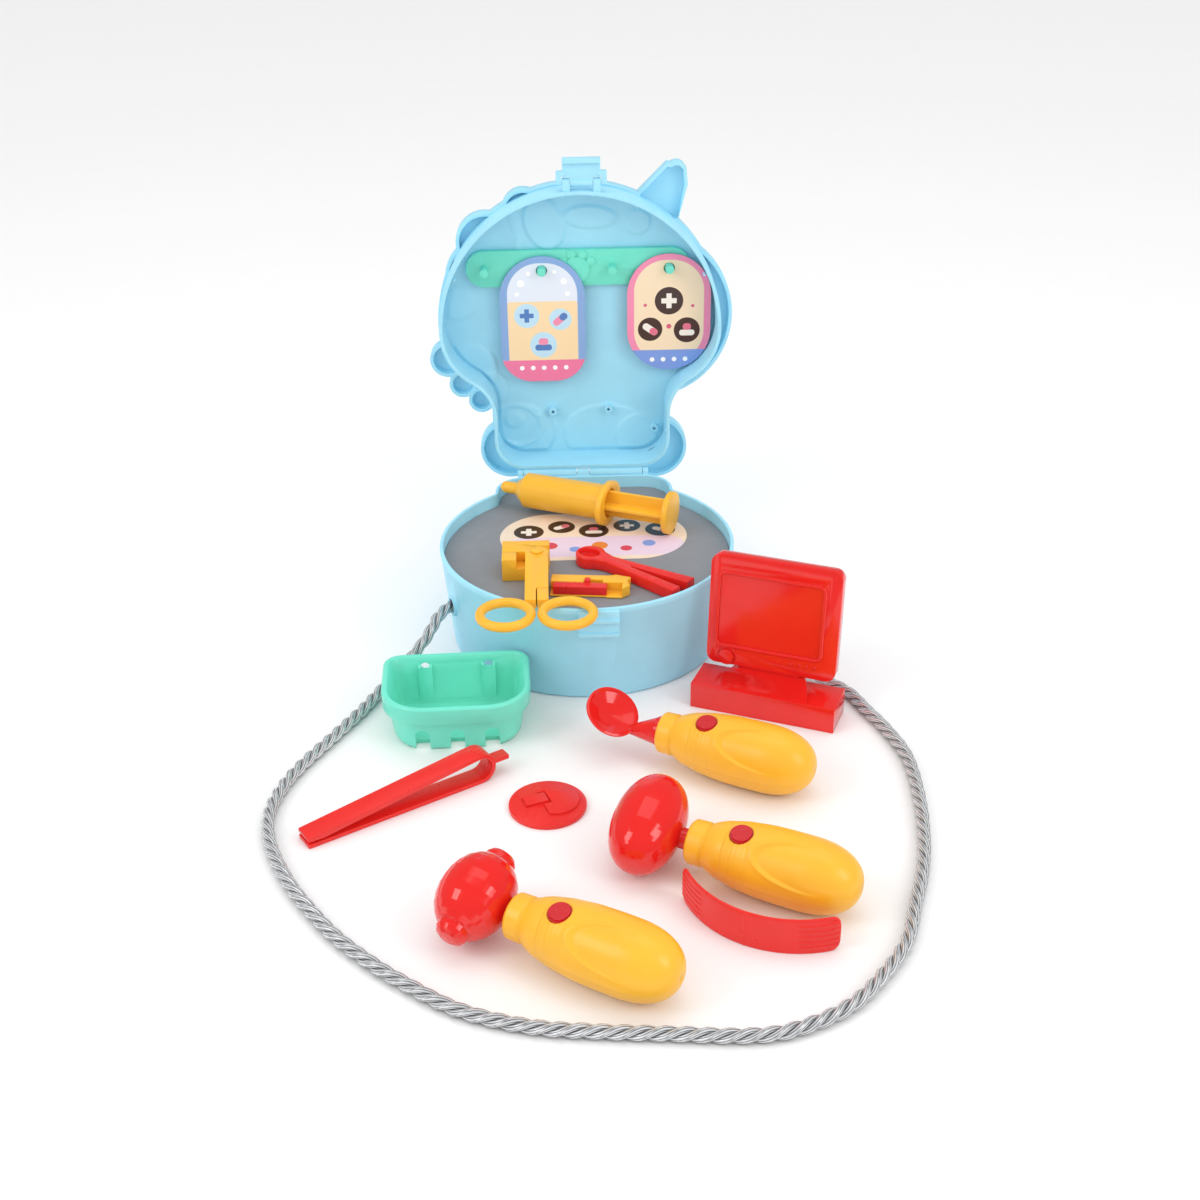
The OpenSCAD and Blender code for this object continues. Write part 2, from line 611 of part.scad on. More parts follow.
// Monitor: a base with a sloped middle and a screen that plugs into its slot
monitor_at = beside([63, -106]);
monitor_turn = -23;
monitor_deep = 28;
monitor_low = 17.5;
monitor_high = 22.5;
screen_from = 3.2;
screen_w = monitor_w - 9.2;
screen_t = 8;
screen_lean = 6;
screen_corner = 6.5;
tongue_w = 40;
tongue_t = 3.6;
tongue_gap = 0.25;
slot_floor = 6;
socket_y = 24.2;
plate_y = 2.2 - screen_t / 2;
module monitor_place() translate([monitor_at[0], monitor_at[1], 0]) rotate([0, 0, monitor_turn]) children();
module screen_place() {
    monitor_place() translate([screen_from + screen_w / 2, socket_y, monitor_high])
        rotate([-screen_lean, 0, 0]) children();
}
module monitor_base() {
    middle = screen_from + screen_w / 2;
    color(red) difference() {
        monitor_place() {
            cube([monitor_w, monitor_deep, monitor_low]);
            intersection() {
                linear_extrude(monitor_high) polygon([[middle - 31.5, 0.8], [middle + 31.5, 0.8],
                    [middle + 22.5, monitor_deep - 0.8], [middle - 22.5, monitor_deep - 0.8]]);
                rotate([90, 0, 90]) linear_extrude(monitor_w)
                    polygon([[0, monitor_low - 1], [0.8, monitor_low],
                    [14, monitor_high], [monitor_deep, monitor_high], [monitor_deep, monitor_low - 1]]);
            }
        }
        screen_place() translate([-tongue_w / 2 - tongue_gap, -tongue_t / 2 - tongue_gap,
            -monitor_high + slot_floor])
            cube([tongue_w + 2 * tongue_gap, tongue_t + 2 * tongue_gap, monitor_high + 5]);
    }
}
module screen_plate(inset) {
    c = screen_corner;
    difference() {
        union() {
            translate([-screen_w / 2 + c, inset]) square([screen_w - 2 * c, screen_h - 2 * inset]);
            translate([-screen_w / 2 + inset, c]) square([screen_w - 2 * inset, screen_h - 2 * c]);
            for (x = [-screen_w / 2 + c, screen_w / 2 - c]) for (y = [c, screen_h - c])
                translate([x, y]) circle(r = c - inset);
        }
    }
}
module monitor_screen() {
    color(red) screen_place() difference() {
        union() {
            translate([0, plate_y + screen_t, 0.4]) rotate([90, 0, 0]) linear_extrude(screen_t)
                screen_plate(0);
            translate([-tongue_w / 2, -tongue_t / 2, -monitor_high + slot_floor + touch_gap])
                cube([tongue_w, tongue_t, monitor_high - slot_floor + 3]);
            translate([-screen_w / 2 + 13.5, plate_y + 1, 6]) rotate([90, 0, 0]) cylinder(r = 5, h = 3.2);
        }
        translate([-screen_w / 2 + 7, plate_y - 1, 14.5]) cube([screen_w - 18.5, 1.8, screen_h - 27]);
    }
}

// Tweezers: a hairpin of flat strip that lies on one arm
tweezers_at = beside([-169, -241]);
tweezers_turn = 32;
tweezers_l = 114;
tweezers_w = 14;
tweezers_strip = 2.6;
loop_r = 10;
module tweezers() {
    color(red) translate([tweezers_at[0], tweezers_at[1], 0]) rotate([0, 0, tweezers_turn])
        rotate([90, 0, 0]) translate([0, 0, -tweezers_w / 2]) {
            linear_extrude(tweezers_w) {
                square([tweezers_l, tweezers_strip]);
                polygon([[0, 4.4], [10, 4], [tweezers_l + 0.5, 2 * loop_r - tweezers_strip],
                    [tweezers_l, 2 * loop_r], [tweezers_l - 6, 2 * loop_r - 0.6], [0, 6.8]]);
                difference() {
                    translate([tweezers_l, loop_r]) circle(r = loop_r);
                    translate([tweezers_l, loop_r]) circle(r = loop_r - tweezers_strip);
                    translate([tweezers_l - 2 * loop_r, 0]) square(2 * loop_r);
                }
            }
            translate([0, 0, 3]) linear_extrude(tweezers_w - 6)
                translate([tweezers_l + loop_r - 1, loop_r - 1.5]) square([12, 3]);
        }
}

// Head mirror: a round badge with a raised clip pad and a raised half disc
badge_at = beside([-29.5, -212]);
badge_r = 23;
badge_t = 2.6;
module head_mirror() {
    color(red) translate([badge_at[0], badge_at[1], 0]) rotate([0, 0, 20]) {
        cylinder(r = badge_r, h = badge_t);
        translate([-13, 0, badge_t - 0.5]) cube([14, 9, 2.5]);
        difference() {
            translate([5, 0, badge_t - 0.5]) cylinder(r = 14, h = 2);
            translate([-15, -1.5, badge_t - 1]) cube([17, 12, 4]);
            translate([-15, -20, badge_t - 1]) cube([12, 40, 4]);
        }
    }
}

// Head band: a curved strip that stands on its long edge, with a peg at one end
band_at = beside([103, -288]);
band_r = 61;
band_h_strip = 22;
band_t = 2;
module head_band() {
    color(red) translate([band_at[0], band_at[1], 0]) {
        rotate([0, 0, 191]) rotate_extrude(angle = 97, $fn = 96) translate([band_r - band_t, 0])
            square([band_t, band_h_strip]);
        rotate([0, 0, 288]) translate([band_r - band_t - 5, -5, 9]) cube([6, 5, 6]);
    }
}

// Light-up handles: two shells that part at mid height, button, board, cells, lamp and screws
tools = [for (p = [[40.9, -166.3, -28], [49.9, -276.3, -28.3], [-47, -335.2, -32]]) beside(p)];
tool_roll = 15;
collar_l = 9;
neck_r = 6;
neck_gap = 0.2;
button_at = 31;
button_flange = 7.6;
button_low = 12.5;
board_low = 6;
board_t = 1.6;
cell_r = 5.8;
cell_l = 5.4;
cell_x = 22;
cell_z = -6;
screw_x = [56, 82];
screw_r = 1.25;
screw_gap = 0.05;
well_r = 2.9;
well_z = -9;
post_x = [17, 42];
handle_shape = [[0, 0.56], [1, 0.61], [collar_l, 0.62], [10, 0.58], [12, 0.65], [18, 0.78], [30, 0.91],
    [44, 0.985], [57, 1], [66, 1], [74, 0.975], [80, 0.93], [84, 0.875], [88, 0.79], [91, 0.695],
    [94, 0.56], [96, 0.43], [97.3, 0.28], [98, 0]];
function handle_points(d) = [for (p = handle_shape)
    [max(p[1] * handle_r - (p[1] == 0 ? 0 : d), 0), min(max(p[0] * handle_l / 98, d), handle_l - d)]];
module along_x() rotate([90, 0, 0]) rotate([0, 90, 0]) children();
module handle_place(t)
    translate([tools[t][0], tools[t][1], handle_r]) rotate([0, 0, tools[t][2]]) rotate([tool_roll, 0, 0])
        children();
module handle_solid(d) along_x() rotate_extrude()
    polygon(concat([[0, d]], handle_points(d), [[0, handle_l - d]]));
module handle_shell() difference() {
    handle_solid(0);
    handle_solid(handle_wall);
    translate([-1, 0, 0]) along_x() cylinder(r = neck_r + neck_gap, h = handle_wall + 2);
}
module half_space(side) translate([-5, -handle_r - 5, side > 0 ? 0 : -2 * handle_r])
    cube([handle_l + 10, 2 * handle_r + 10, 2 * handle_r]);
module shell_upper(t) color(yellow) handle_place(t) difference() {
    union() {
        intersection() {
            handle_shell();
            half_space(1);
        }
        intersection() {
            for (x = screw_x) translate([x, 0, -6]) cylinder(r = 3.2, h = 40);
            handle_solid(handle_wall / 2);
        }
    }
    translate([button_at, 0, 0]) cylinder(r = button_r + 0.2, h = 40);
    for (x = screw_x) translate([x, 0, -7]) cylinder(r = screw_r + screw_gap, h = 16);
}
module shell_lower(t) color(yellow) handle_place(t) difference() {
    union() {
        intersection() {
            handle_shell();
            half_space(-1);
        }
        intersection() {
            union() {
                for (x = screw_x) translate([x, 0, -40]) cylinder(r = 4.4, h = 40 - 6.1);
                for (x = post_x) translate([x, 0, -40]) cylinder(r = 2.5, h = 40 + board_low);
                for (x = [cell_x + 2, cell_x + 12]) translate([x, -8, -40]) cube([2, 16, 35]);
            }
            handle_solid(handle_wall / 2);
        }
    }
    translate([cell_x, 0, cell_z]) along_x() cylinder(r = cell_r + 0.05, h = 3 * cell_l);
    for (x = screw_x) {
        translate([x, 0, -40]) cylinder(r = well_r, h = 40 + well_z);
        translate([x, 0, -10]) cylinder(r = screw_r + 0.2, h = 6);
    }
}
module push_button(t) color(red) handle_place(t) translate([button_at, 0, 0]) {
    translate([0, 0, button_low]) cylinder(r = button_flange, h = 1.2);
    translate([0, 0, button_low]) cylinder(r = button_r, h = 5.8);
    translate([0, 0, button_low + 5.8]) cylinder(r = button_r - 0.8, h = 0.8);
}
module lamp(t) color("white") handle_place(t) along_x() {
    translate([0, 0, -1]) cylinder(r = 2.5, h = 7);
    translate([0, 0, -1]) sphere(r = 2.5);
    translate([0, 0, 6]) cylinder(r = 2.95, h = 1.2);
}
module board(t) color("darkgreen") handle_place(t) {
    translate([post_x[0] - 3, -9, board_low]) cube([post_x[1] - post_x[0] + 6, 18, board_t]);
    translate([button_at - 3, -3, board_low + board_t - eps]) cube([6, 6, 2.2]);
    translate([button_at, 0, board_low + board_t]) cylinder(r = 1.7, h = 3.2);
}
module cells(t) color(silver) handle_place(t) for (k = [0:2])
    translate([cell_x + k * cell_l, 0, cell_z]) along_x() cylinder(r = cell_r, h = cell_l - 0.05);
module screws(t) color(silver) handle_place(t) for (x = screw_x) translate([x, 0, 0]) {
    translate([0, 0, well_z - 2]) cylinder(r = 2.6, h = 1.95);
    translate([0, 0, well_z - 0.5]) cylinder(r = screw_r, h = 10);
}
module neck(front) {
    translate([-front, 0, 0]) along_x() cylinder(r = neck_r, h = front + 8);
    translate([handle_wall + 0.2, 0, 0]) along_x() cylinder(r = 8, h = 2);
}
module neck_bore() translate([-8, 0, 0]) along_x() cylinder(r = 3, h = 30);

// Heads of the three handles
dish_at = [-32.3, -3.7, 6.9];
dish_r = 17;
module mirror_tool_head() color(red) handle_place(0) difference() {
    union() {
        neck(1);
        translate([-2.9, 0, 0]) along_x() cylinder(r = 9, h = 2.6);
        rotate([-tool_roll, 0, 0]) {
            rotate([0, 0, 6.5]) rotate([0, -7, 0]) translate([-19.4, 0, 0]) {
                along_x() cylinder(r1 = 3.4, r2 = 8.8, h = 17);
                sphere(r = 3.4);
            }
            translate(dish_at) rotate([14, 0, 0]) rotate([0, 32, 0]) rotate_extrude()
                polygon([[0, -5], [6, -4.8], [13, -2.6], [dish_r, 0.6], [dish_r, 2],
                    [dish_r - 1.2, 2.4], [dish_r - 2.6, 1.2], [8, -1.6], [0, -2.8]]);
        }
    }
    neck_bore();
}
head_lift = 3;
mallet_half = 31.5;
mallet_r = 20.5;
mallet_at = -26;
mallet_skew = 4.9;
module mallet_body(d) rotate([-tool_roll, 0, 0]) translate([mallet_at, 0, head_lift])
    rotate([0, 0, mallet_skew]) rotate([15, 0, 0]) rotate([90, 0, 0])
    rotate_extrude() polygon([for (i = [-18:18]) let (a = 5 * i)
        [(mallet_r - d) * pow(cos(a), 0.8), (mallet_half - d) * sin(a)]]);
module mallet_tool_head() color(red) handle_place(1) difference() {
    union() {
        neck(10);
        mallet_body(0);
    }
    mallet_body(2);
    neck_bore();
}
hammer_at = -23.5;
hammer_shape = [[0, 20.5], [5, 20.2], [10, 19], [15, 16.8], [19, 13.8], [21.5, 11], [22.2, 9.4], [25, 9],
    [27.2, 7.6], [28.5, 5], [29, 0]];
module hammer_body(d) rotate([-tool_roll, 0, 0]) translate([hammer_at, 0, head_lift])
    rotate([17, 0, 0]) rotate([90, 0, 0]) rotate_extrude() polygon(concat(
        [for (i = [len(hammer_shape) - 1:-1:1]) let (p = hammer_shape[i])
            [max(p[1] - d, 0), -p[0] * (1 - d / 29)]],
        [for (p = hammer_shape) [max(p[1] - d, 0), p[0] * (1 - d / 29)]]));
module hammer_tool_head() color(red) handle_place(2) difference() {
    union() {
        neck(8);
        hammer_body(0);
    }
    hammer_body(2);
    neck_bore();
}

module mirror_tool_shell_upper() shell_upper(0);
module mirror_tool_shell_lower() shell_lower(0);
module mirror_tool_button() push_button(0);
module mirror_tool_lamp() lamp(0);
module mirror_tool_board() board(0);
module mirror_tool_cells() cells(0);
module mirror_tool_screws() screws(0);
module mallet_tool_shell_upper() shell_upper(1);
module mallet_tool_shell_lower() shell_lower(1);
module mallet_tool_button() push_button(1);
module mallet_tool_lamp() lamp(1);
module mallet_tool_board() board(1);
module mallet_tool_cells() cells(1);
module mallet_tool_screws() screws(1);
module hammer_tool_shell_upper() shell_upper(2);
module hammer_tool_shell_lower() shell_lower(2);
module hammer_tool_button() push_button(2);
module hammer_tool_lamp() lamp(2);
module hammer_tool_board() board(2);
module hammer_tool_cells() cells(2);
module hammer_tool_screws() screws(2);

case_base();
carry_rope();
rope_knot_left();
rope_knot_right();
hinge_pin();
case_lid();
hook_rail();
latch_pin();
latch();
tray_panel();
tray_sticker();
card_left();
card_right();
basket();
syringe_barrel();
syringe_plunger();
scissors_blade_left();
scissors_blade_right();
scissors_rivet();
thermometer_body();
thermometer_slider();
forceps();
monitor_base();
monitor_screen();
tweezers();
head_mirror();
head_band();
mirror_tool_shell_upper();
mirror_tool_shell_lower();
mirror_tool_button();
mirror_tool_head();
mirror_tool_lamp();
mirror_tool_board();
mirror_tool_cells();
mirror_tool_screws();
mallet_tool_shell_upper();
mallet_tool_shell_lower();
mallet_tool_button();
mallet_tool_head();
mallet_tool_lamp();
mallet_tool_board();
mallet_tool_cells();
mallet_tool_screws();
hammer_tool_shell_upper();
hammer_tool_shell_lower();
hammer_tool_button();
hammer_tool_head();
hammer_tool_lamp();
hammer_tool_board();
hammer_tool_cells();
hammer_tool_screws();
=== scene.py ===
import json
import math

import bmesh
import bpy
import numpy as np
from mathutils import Matrix, Vector


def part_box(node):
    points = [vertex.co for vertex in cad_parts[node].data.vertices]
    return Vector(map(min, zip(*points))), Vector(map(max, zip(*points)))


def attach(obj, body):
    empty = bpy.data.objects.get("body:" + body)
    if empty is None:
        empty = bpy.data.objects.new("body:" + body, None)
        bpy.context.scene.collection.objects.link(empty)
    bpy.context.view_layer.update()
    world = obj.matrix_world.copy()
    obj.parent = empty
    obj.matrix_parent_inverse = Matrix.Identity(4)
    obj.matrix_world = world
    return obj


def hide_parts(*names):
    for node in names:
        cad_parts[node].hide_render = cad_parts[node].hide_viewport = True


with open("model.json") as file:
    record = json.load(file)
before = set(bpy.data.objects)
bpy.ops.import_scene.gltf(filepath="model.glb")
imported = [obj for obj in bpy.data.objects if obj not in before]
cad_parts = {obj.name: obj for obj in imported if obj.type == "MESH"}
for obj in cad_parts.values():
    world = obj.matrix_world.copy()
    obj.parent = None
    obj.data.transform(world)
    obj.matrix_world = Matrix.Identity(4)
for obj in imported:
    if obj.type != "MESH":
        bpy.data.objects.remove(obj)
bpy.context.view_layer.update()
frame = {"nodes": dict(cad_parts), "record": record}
nodes = frame["nodes"]
slot_of = {part["node"]: part["material_slot"] for part in frame["record"]["subparts"]}
body_of_node = {n: b for b, ns in frame["record"]["behaviour"]["bodies"].items() for n in ns}
MM = 0.001


# Camera, floor and light

def photo_camera():
    """The camera of the photograph: 1.2 m from the case, 29 degrees above it, held 0.8 degrees off level."""
    place, target = Vector((-0.01788, -1.01241, 0.57491)), Vector((0.009489, 0.040551, 0))
    forward = (target - place).normalized()
    right = forward.cross(Vector((0, 0, 1))).normalized()
    up = right.cross(forward)
    roll = math.radians(-0.774)
    right, up = right * math.cos(roll) + up * math.sin(roll), up * math.cos(roll) - right * math.sin(roll)
    data = bpy.data.cameras.new("photo_camera")
    data.lens, data.sensor_width, data.clip_end = 49.742, 36, 20
    camera = bpy.data.objects.new("photo_camera", data)
    camera.matrix_world = Matrix([[right[k], up[k], -forward[k], place[k]] for k in range(3)] + [[0, 0, 0, 1]])
    bpy.context.scene.collection.objects.link(camera)
    bpy.context.scene.camera = camera


def softbox(name, place, aim, width, height, watts):
    """A large soft lamp at place that faces aim."""
    data = bpy.data.lights.new(name, "AREA")
    data.shape, data.size, data.size_y, data.energy = "RECTANGLE", width, height, watts
    lamp = bpy.data.objects.new(name, data)
    lamp.location = place
    lamp.rotation_euler = (Vector(aim) - Vector(place)).to_track_quat("-Z", "Y").to_euler()
    bpy.context.scene.collection.objects.link(lamp)


def studio():
    softbox("left_softbox", (-1.1, -0.7, 1.0), (0, -0.1, 0.05), 0.5, 0.7, 3.9)
    softbox("right_softbox", (1.05, -0.95, 0.95), (0, -0.15, 0.05), 0.5, 0.7, 3.9)
    softbox("top_softbox", (0.1, 0.1, 1.6), (0, -0.1, 0), 1.2, 0.8, 2.6)
    # A white room whose far walls are darker in reflections than the softboxes
    world = bpy.data.worlds.new("pale_studio")
    world.use_nodes = True
    tree = world.node_tree
    path = add(tree, "ShaderNodeLightPath")
    seen = add(tree, "ShaderNodeMapRange", {"To Min": 0.98, "To Max": 0.3}, {"Value": path.outputs["Is Glossy Ray"]})
    tree.links.new(seen.outputs["Result"], tree.nodes["Background"].inputs["Strength"])
    tree.nodes["Background"].inputs["Color"].default_value = (1, 1, 1, 1)
    bpy.context.scene.world = world
    bpy.context.scene.view_settings.view_transform = "Standard"


# Materials

def linear(colour):
    """An sRGB hex value as linear light."""
    parts = [int(colour[k:k + 2], 16) / 255 for k in (0, 2, 4)]
    return [*(c / 12.92 if c <= 0.04045 else ((c + 0.055) / 1.055) ** 2.4 for c in parts), 1.0]


def add(tree, kind, settings=None, links=None):
    """Adds a node. A setting is an input, by name or number, or a property; a link joins an input to a socket."""
    made = tree.nodes.new(kind)
    for key, value in (settings or {}).items():
        if isinstance(key, int) or (key in made.inputs and not hasattr(made, str(key))):
            made.inputs[key].default_value = value
        else:
            setattr(made, key, value)
    for key, socket in (links or {}).items():
        tree.links.new(socket, made.inputs[key])
    return made


def finish_of(name, **values):
    """A new material with one Principled shader, whose uniform values are set on its own sockets."""
    material = bpy.data.materials.new(name)
    material.use_nodes = True
    tree = material.node_tree
    tree.nodes.clear()
    shader = add(tree, "ShaderNodeBsdfPrincipled", values)
    add(tree, "ShaderNodeOutputMaterial", {}, {"Surface": shader.outputs["BSDF"]})
    return material, tree, shader


def mottled(tree, colour, depth, size_mm, coords):
    """Colour that drifts a little lighter and darker over patches of the given size."""
    drift = add(tree, "ShaderNodeTexNoise", {"Scale": 1000 / size_mm, "Detail": 2.0}, {"Vector": coords})
    tone = add(tree, "ShaderNodeMapRange", {"From Min": 0.3, "From Max": 0.7, "To Min": 1 - depth, "To Max": 1 + depth},
               {"Value": drift.outputs["Fac"]})
    return add(tree, "ShaderNodeVectorMath", {"operation": "SCALE", 0: linear(colour)[:3]},
               {"Scale": tone.outputs["Result"]}).outputs["Vector"]


def moulded(name, colour, rough, grain=0.012, coat=0.0, soft=0.0, patch=22):
    """Injection-moulded plastic: near-even colour, a gloss that varies in soft patches, and a very fine skin."""
    material, tree, shader = finish_of(name, **{"IOR": 1.49, "Coat Weight": coat, "Coat Roughness": 0.12,
                                                "Subsurface Weight": soft, "Subsurface Scale": 0.004})
    coords = add(tree, "ShaderNodeTexCoord").outputs["Object"]
    tree.links.new(mottled(tree, colour, 0.03, patch, coords), shader.inputs["Base Color"])
    # Flow of the melt leaves 8 mm patches of slightly duller skin
    flow = add(tree, "ShaderNodeTexNoise", {"Scale": 125.0, "Detail": 3.0}, {"Vector": coords})
    gloss = add(tree, "ShaderNodeMapRange", {"From Min": 0.25, "From Max": 0.75, "To Min": rough * 0.85, "To Max": rough * 1.2},
                {"Value": flow.outputs["Fac"]})
    tree.links.new(gloss.outputs["Result"], shader.inputs["Roughness"])
    # The tool's skin is drawn at 0.9 mm, coarser than real, so that it shows
    skin = add(tree, "ShaderNodeTexNoise", {"Scale": 1100.0, "Detail": 2.0}, {"Vector": coords})
    bump = add(tree, "ShaderNodeBump", {"Strength": 0.5, "Distance": grain * MM}, {"Height": skin.outputs["Fac"]})
    tree.links.new(bump.outputs["Normal"], shader.inputs["Normal"])
    return material


def print_place(tree, axes, centre):
    """Object coordinates as millimetres on a print, from its own centre, across and up."""
    coords = add(tree, "ShaderNodeTexCoord").outputs["Object"]
    near = add(tree, "ShaderNodeVectorMath", {"operation": "SUBTRACT", 1: centre}, {0: coords})
    size = add(tree, "ShaderNodeVectorMath", {"operation": "SCALE", "Scale": 1000.0}, {0: near.outputs["Vector"]})
    apart = add(tree, "ShaderNodeSeparateXYZ", {}, {"Vector": size.outputs["Vector"]})
    return add(tree, "ShaderNodeCombineXYZ", {}, {"X": apart.outputs[axes[0]], "Y": apart.outputs[axes[1]]}).outputs["Vector"]


def inked(tree, place, ground, shapes):
    """Lays shapes of ink on the ground, each a rounded box: (x, y, width, height, corner, turn, colour).
    A point's distance to the box's inner rectangle, compared with the corner radius, says whether it is inked."""
    for x, y, w, h, corner, turn, colour in shapes:
        moved = add(tree, "ShaderNodeMapping", {"vector_type": "TEXTURE", "Location": (x, y, 0),
                                                "Rotation": (0, 0, math.radians(turn))}, {"Vector": place})
        folded = add(tree, "ShaderNodeVectorMath", {"operation": "ABSOLUTE"}, {0: moved.outputs["Vector"]})
        out = add(tree, "ShaderNodeVectorMath", {"operation": "SUBTRACT", 1: (w / 2 - corner, h / 2 - corner, 0)},
                  {0: folded.outputs["Vector"]})
        held = add(tree, "ShaderNodeVectorMath", {"operation": "MAXIMUM", 1: (0, 0, 0)}, {0: out.outputs["Vector"]})
        far = add(tree, "ShaderNodeVectorMath", {"operation": "LENGTH"}, {0: held.outputs["Vector"]})
        inside = add(tree, "ShaderNodeMapRange", {"From Min": corner - 0.12, "From Max": corner + 0.12,
                                                  "To Min": 1.0, "To Max": 0.0}, {"Value": far.outputs["Value"]})
        mix = add(tree, "ShaderNodeMix", {"data_type": "RGBA"}, {"Factor": inside.outputs["Result"]})
        mix.inputs["B"].default_value = mix.inputs[7].default_value = linear(colour)
        tree.links.new(ground, mix.inputs[6])
        ground = mix.outputs[2]
    return ground


def disc(x, y, r, colour):
    return (x, y, 2 * r, 2 * r, r - 0.01, 0, colour)


def plus(x, y, size, colour):
    return [(x, y, size, size * 0.34, 0.4, 0, colour), (x, y, size * 0.34, size, 0.4, 0, colour)]


def pill(x, y, size, turn, colour, other):
    """A capsule in two colours."""
    dx, dy = math.cos(math.radians(turn)) * size * 0.25, math.sin(math.radians(turn)) * size * 0.25
    return [(x, y, size, size * 0.42, size * 0.2, turn, colour),
            (x + dx, y + dy, size * 0.5, size * 0.42, size * 0.2, turn, other)]


def printed(name, axes, centre, ground, shapes, rough=0.32):
    """Offset print on white polypropylene sheet under a clear gloss film: flat inks with crisp edges, a slight sheen."""
    material, tree, shader = finish_of(name, **{"IOR": 1.5, "Roughness": rough, "Coat Weight": 0.25, "Coat Roughness": 0.1})
    place = print_place(tree, axes, centre)
    coords = add(tree, "ShaderNodeTexCoord").outputs["Object"]
    first = mottled(tree, ground, 0.02, 15, coords)
    tree.links.new(inked(tree, place, first, shapes), shader.inputs["Base Color"])
    # The film's waviness, 12 mm from crest to crest
    wave = add(tree, "ShaderNodeTexNoise", {"Scale": 80.0}, {"Vector": coords})
    bump = add(tree, "ShaderNodeBump", {"Strength": 0.3, "Distance": 0.1 * MM}, {"Height": wave.outputs["Fac"]})
    tree.links.new(bump.outputs["Normal"], shader.inputs["Normal"])
    return material


def twisted_cord():
    """Bright polyester cord, filaments twisted into strands: silver-white, with fine lines along each strand whose
    light crests are partly painted highlight, and painted shade in the grooves between strands.
    """
    material, tree, shader = finish_of("bright_polyester_cord", **{"IOR": 1.5, "Metallic": 0.45, "Roughness": 0.3,
                                                                 "Sheen Weight": 0.2})
    uv = add(tree, "ShaderNodeUVMap", {"uv_map": "strand"}).outputs["UV"]
    # Nine yarns show round a strand, 1.4 mm apart, and slant a little
    lines = add(tree, "ShaderNodeTexWave", {"wave_type": "BANDS", "bands_direction": "Y", "Scale": 1.0,
                                            "Distortion": 1.2, "Detail": 2.0, "Detail Scale": 3.0}, {"Vector": uv})
    # Grey and near-white bands across each yarn: partly the yarns' own tone, partly a painted highlight on their crests
    yarn_stripes_and_painted_highlight = add(tree, "ShaderNodeValToRGB", {}, {"Fac": lines.outputs["Fac"]})
    yarn_stripes_and_painted_highlight.color_ramp.elements[0].color, yarn_stripes_and_painted_highlight.color_ramp.elements[0].position = linear("7F8286"), 0.1
    yarn_stripes_and_painted_highlight.color_ramp.elements[1].color, yarn_stripes_and_painted_highlight.color_ramp.elements[1].position = linear("E9EAEC"), 0.55
    # Painted shade: ambient occlusion darkens the colour in the grooves between the strands, down to 0.22 of it
    groove_occlusion = add(tree, "ShaderNodeAmbientOcclusion", {"Distance": 3 * MM})
    painted_groove_shade = add(tree, "ShaderNodeMapRange", {"From Min": 0.35, "From Max": 0.85, "To Min": 0.22},
                 {"Value": groove_occlusion.outputs["AO"]})
    cord_colour_with_painted_shade = add(tree, "ShaderNodeMix", {"data_type": "RGBA", "blend_type": "MULTIPLY"})
    cord_colour_with_painted_shade.inputs[0].default_value = 1.0
    tree.links.new(yarn_stripes_and_painted_highlight.outputs["Color"], cord_colour_with_painted_shade.inputs[6])
    tree.links.new(painted_groove_shade.outputs["Result"], cord_colour_with_painted_shade.inputs[7])
    tree.links.new(cord_colour_with_painted_shade.outputs[2], shader.inputs["Base Color"])
    bump = add(tree, "ShaderNodeBump", {"Strength": 0.6, "Distance": 0.25 * MM}, {"Height": lines.outputs["Fac"]})
    tree.links.new(bump.outputs["Normal"], shader.inputs["Normal"])
    return material


def drawn_steel():
    """Drawn mild steel wire and screws, nickel plated: bright, with lines along the drawing."""
    material, tree, shader = finish_of("nickel_plated_drawn_steel", **{"Metallic": 1.0})
    coords = add(tree, "ShaderNodeTexCoord").outputs["Object"]
    tree.links.new(mottled(tree, "C9CACB", 0.04, 3, coords), shader.inputs["Base Color"])
    lines = add(tree, "ShaderNodeTexNoise", {"Scale": 900.0, "Detail": 3.0}, {"Vector": coords})
    gloss = add(tree, "ShaderNodeMapRange", {"To Min": 0.2, "To Max": 0.38}, {"Value": lines.outputs["Fac"]})
    tree.links.new(gloss.outputs["Result"], shader.inputs["Roughness"])
    return material


def circuit_board():
    """Glass-epoxy board under green solder resist: traces 1 mm wide show as paler lines."""
    material, tree, shader = finish_of("solder_resist_on_glass_epoxy", **{"IOR": 1.5, "Roughness": 0.3})
    coords = add(tree, "ShaderNodeTexCoord").outputs["Object"]
    lines = add(tree, "ShaderNodeTexBrick", {"Scale": 250.0, "Mortar Size": 0.08}, {"Vector": coords})
    lines.inputs["Color1"].default_value = lines.inputs["Color2"].default_value = linear("0F5A2C")
    lines.inputs["Mortar"].default_value = linear("2F8A4E")
    tree.links.new(lines.outputs["Color"], shader.inputs["Base Color"])
    return material


def button_skin():
    """Moulded red acrylonitrile-butadiene-styrene with a dimpled top, dimples 1.6 mm apart for the finger."""
    material = moulded("dimpled_red_abs", "C9151E", 0.3, coat=0.15)
    tree = material.node_tree
    shader = next(n for n in tree.nodes if n.type == "BSDF_PRINCIPLED")
    coords = add(tree, "ShaderNodeTexCoord").outputs["Object"]
    dots = add(tree, "ShaderNodeTexVoronoi", {"Scale": 620.0}, {"Vector": coords})
    bump = add(tree, "ShaderNodeBump", {"Strength": 0.7, "Distance": 0.3 * MM}, {"Height": dots.outputs["Distance"]})
    tree.links.new(bump.outputs["Normal"], shader.inputs["Normal"])
    return material


def white_floor():
    """Matt white photographic paper with a faint tooth."""
    material, tree, shader = finish_of("matt_white_paper", **{"Roughness": 0.75, "Specular IOR Level": 0.2})
    coords = add(tree, "ShaderNodeTexCoord").outputs["Object"]
    tree.links.new(mottled(tree, "F6F6F6", 0.004, 40, coords), shader.inputs["Base Color"])
    return material


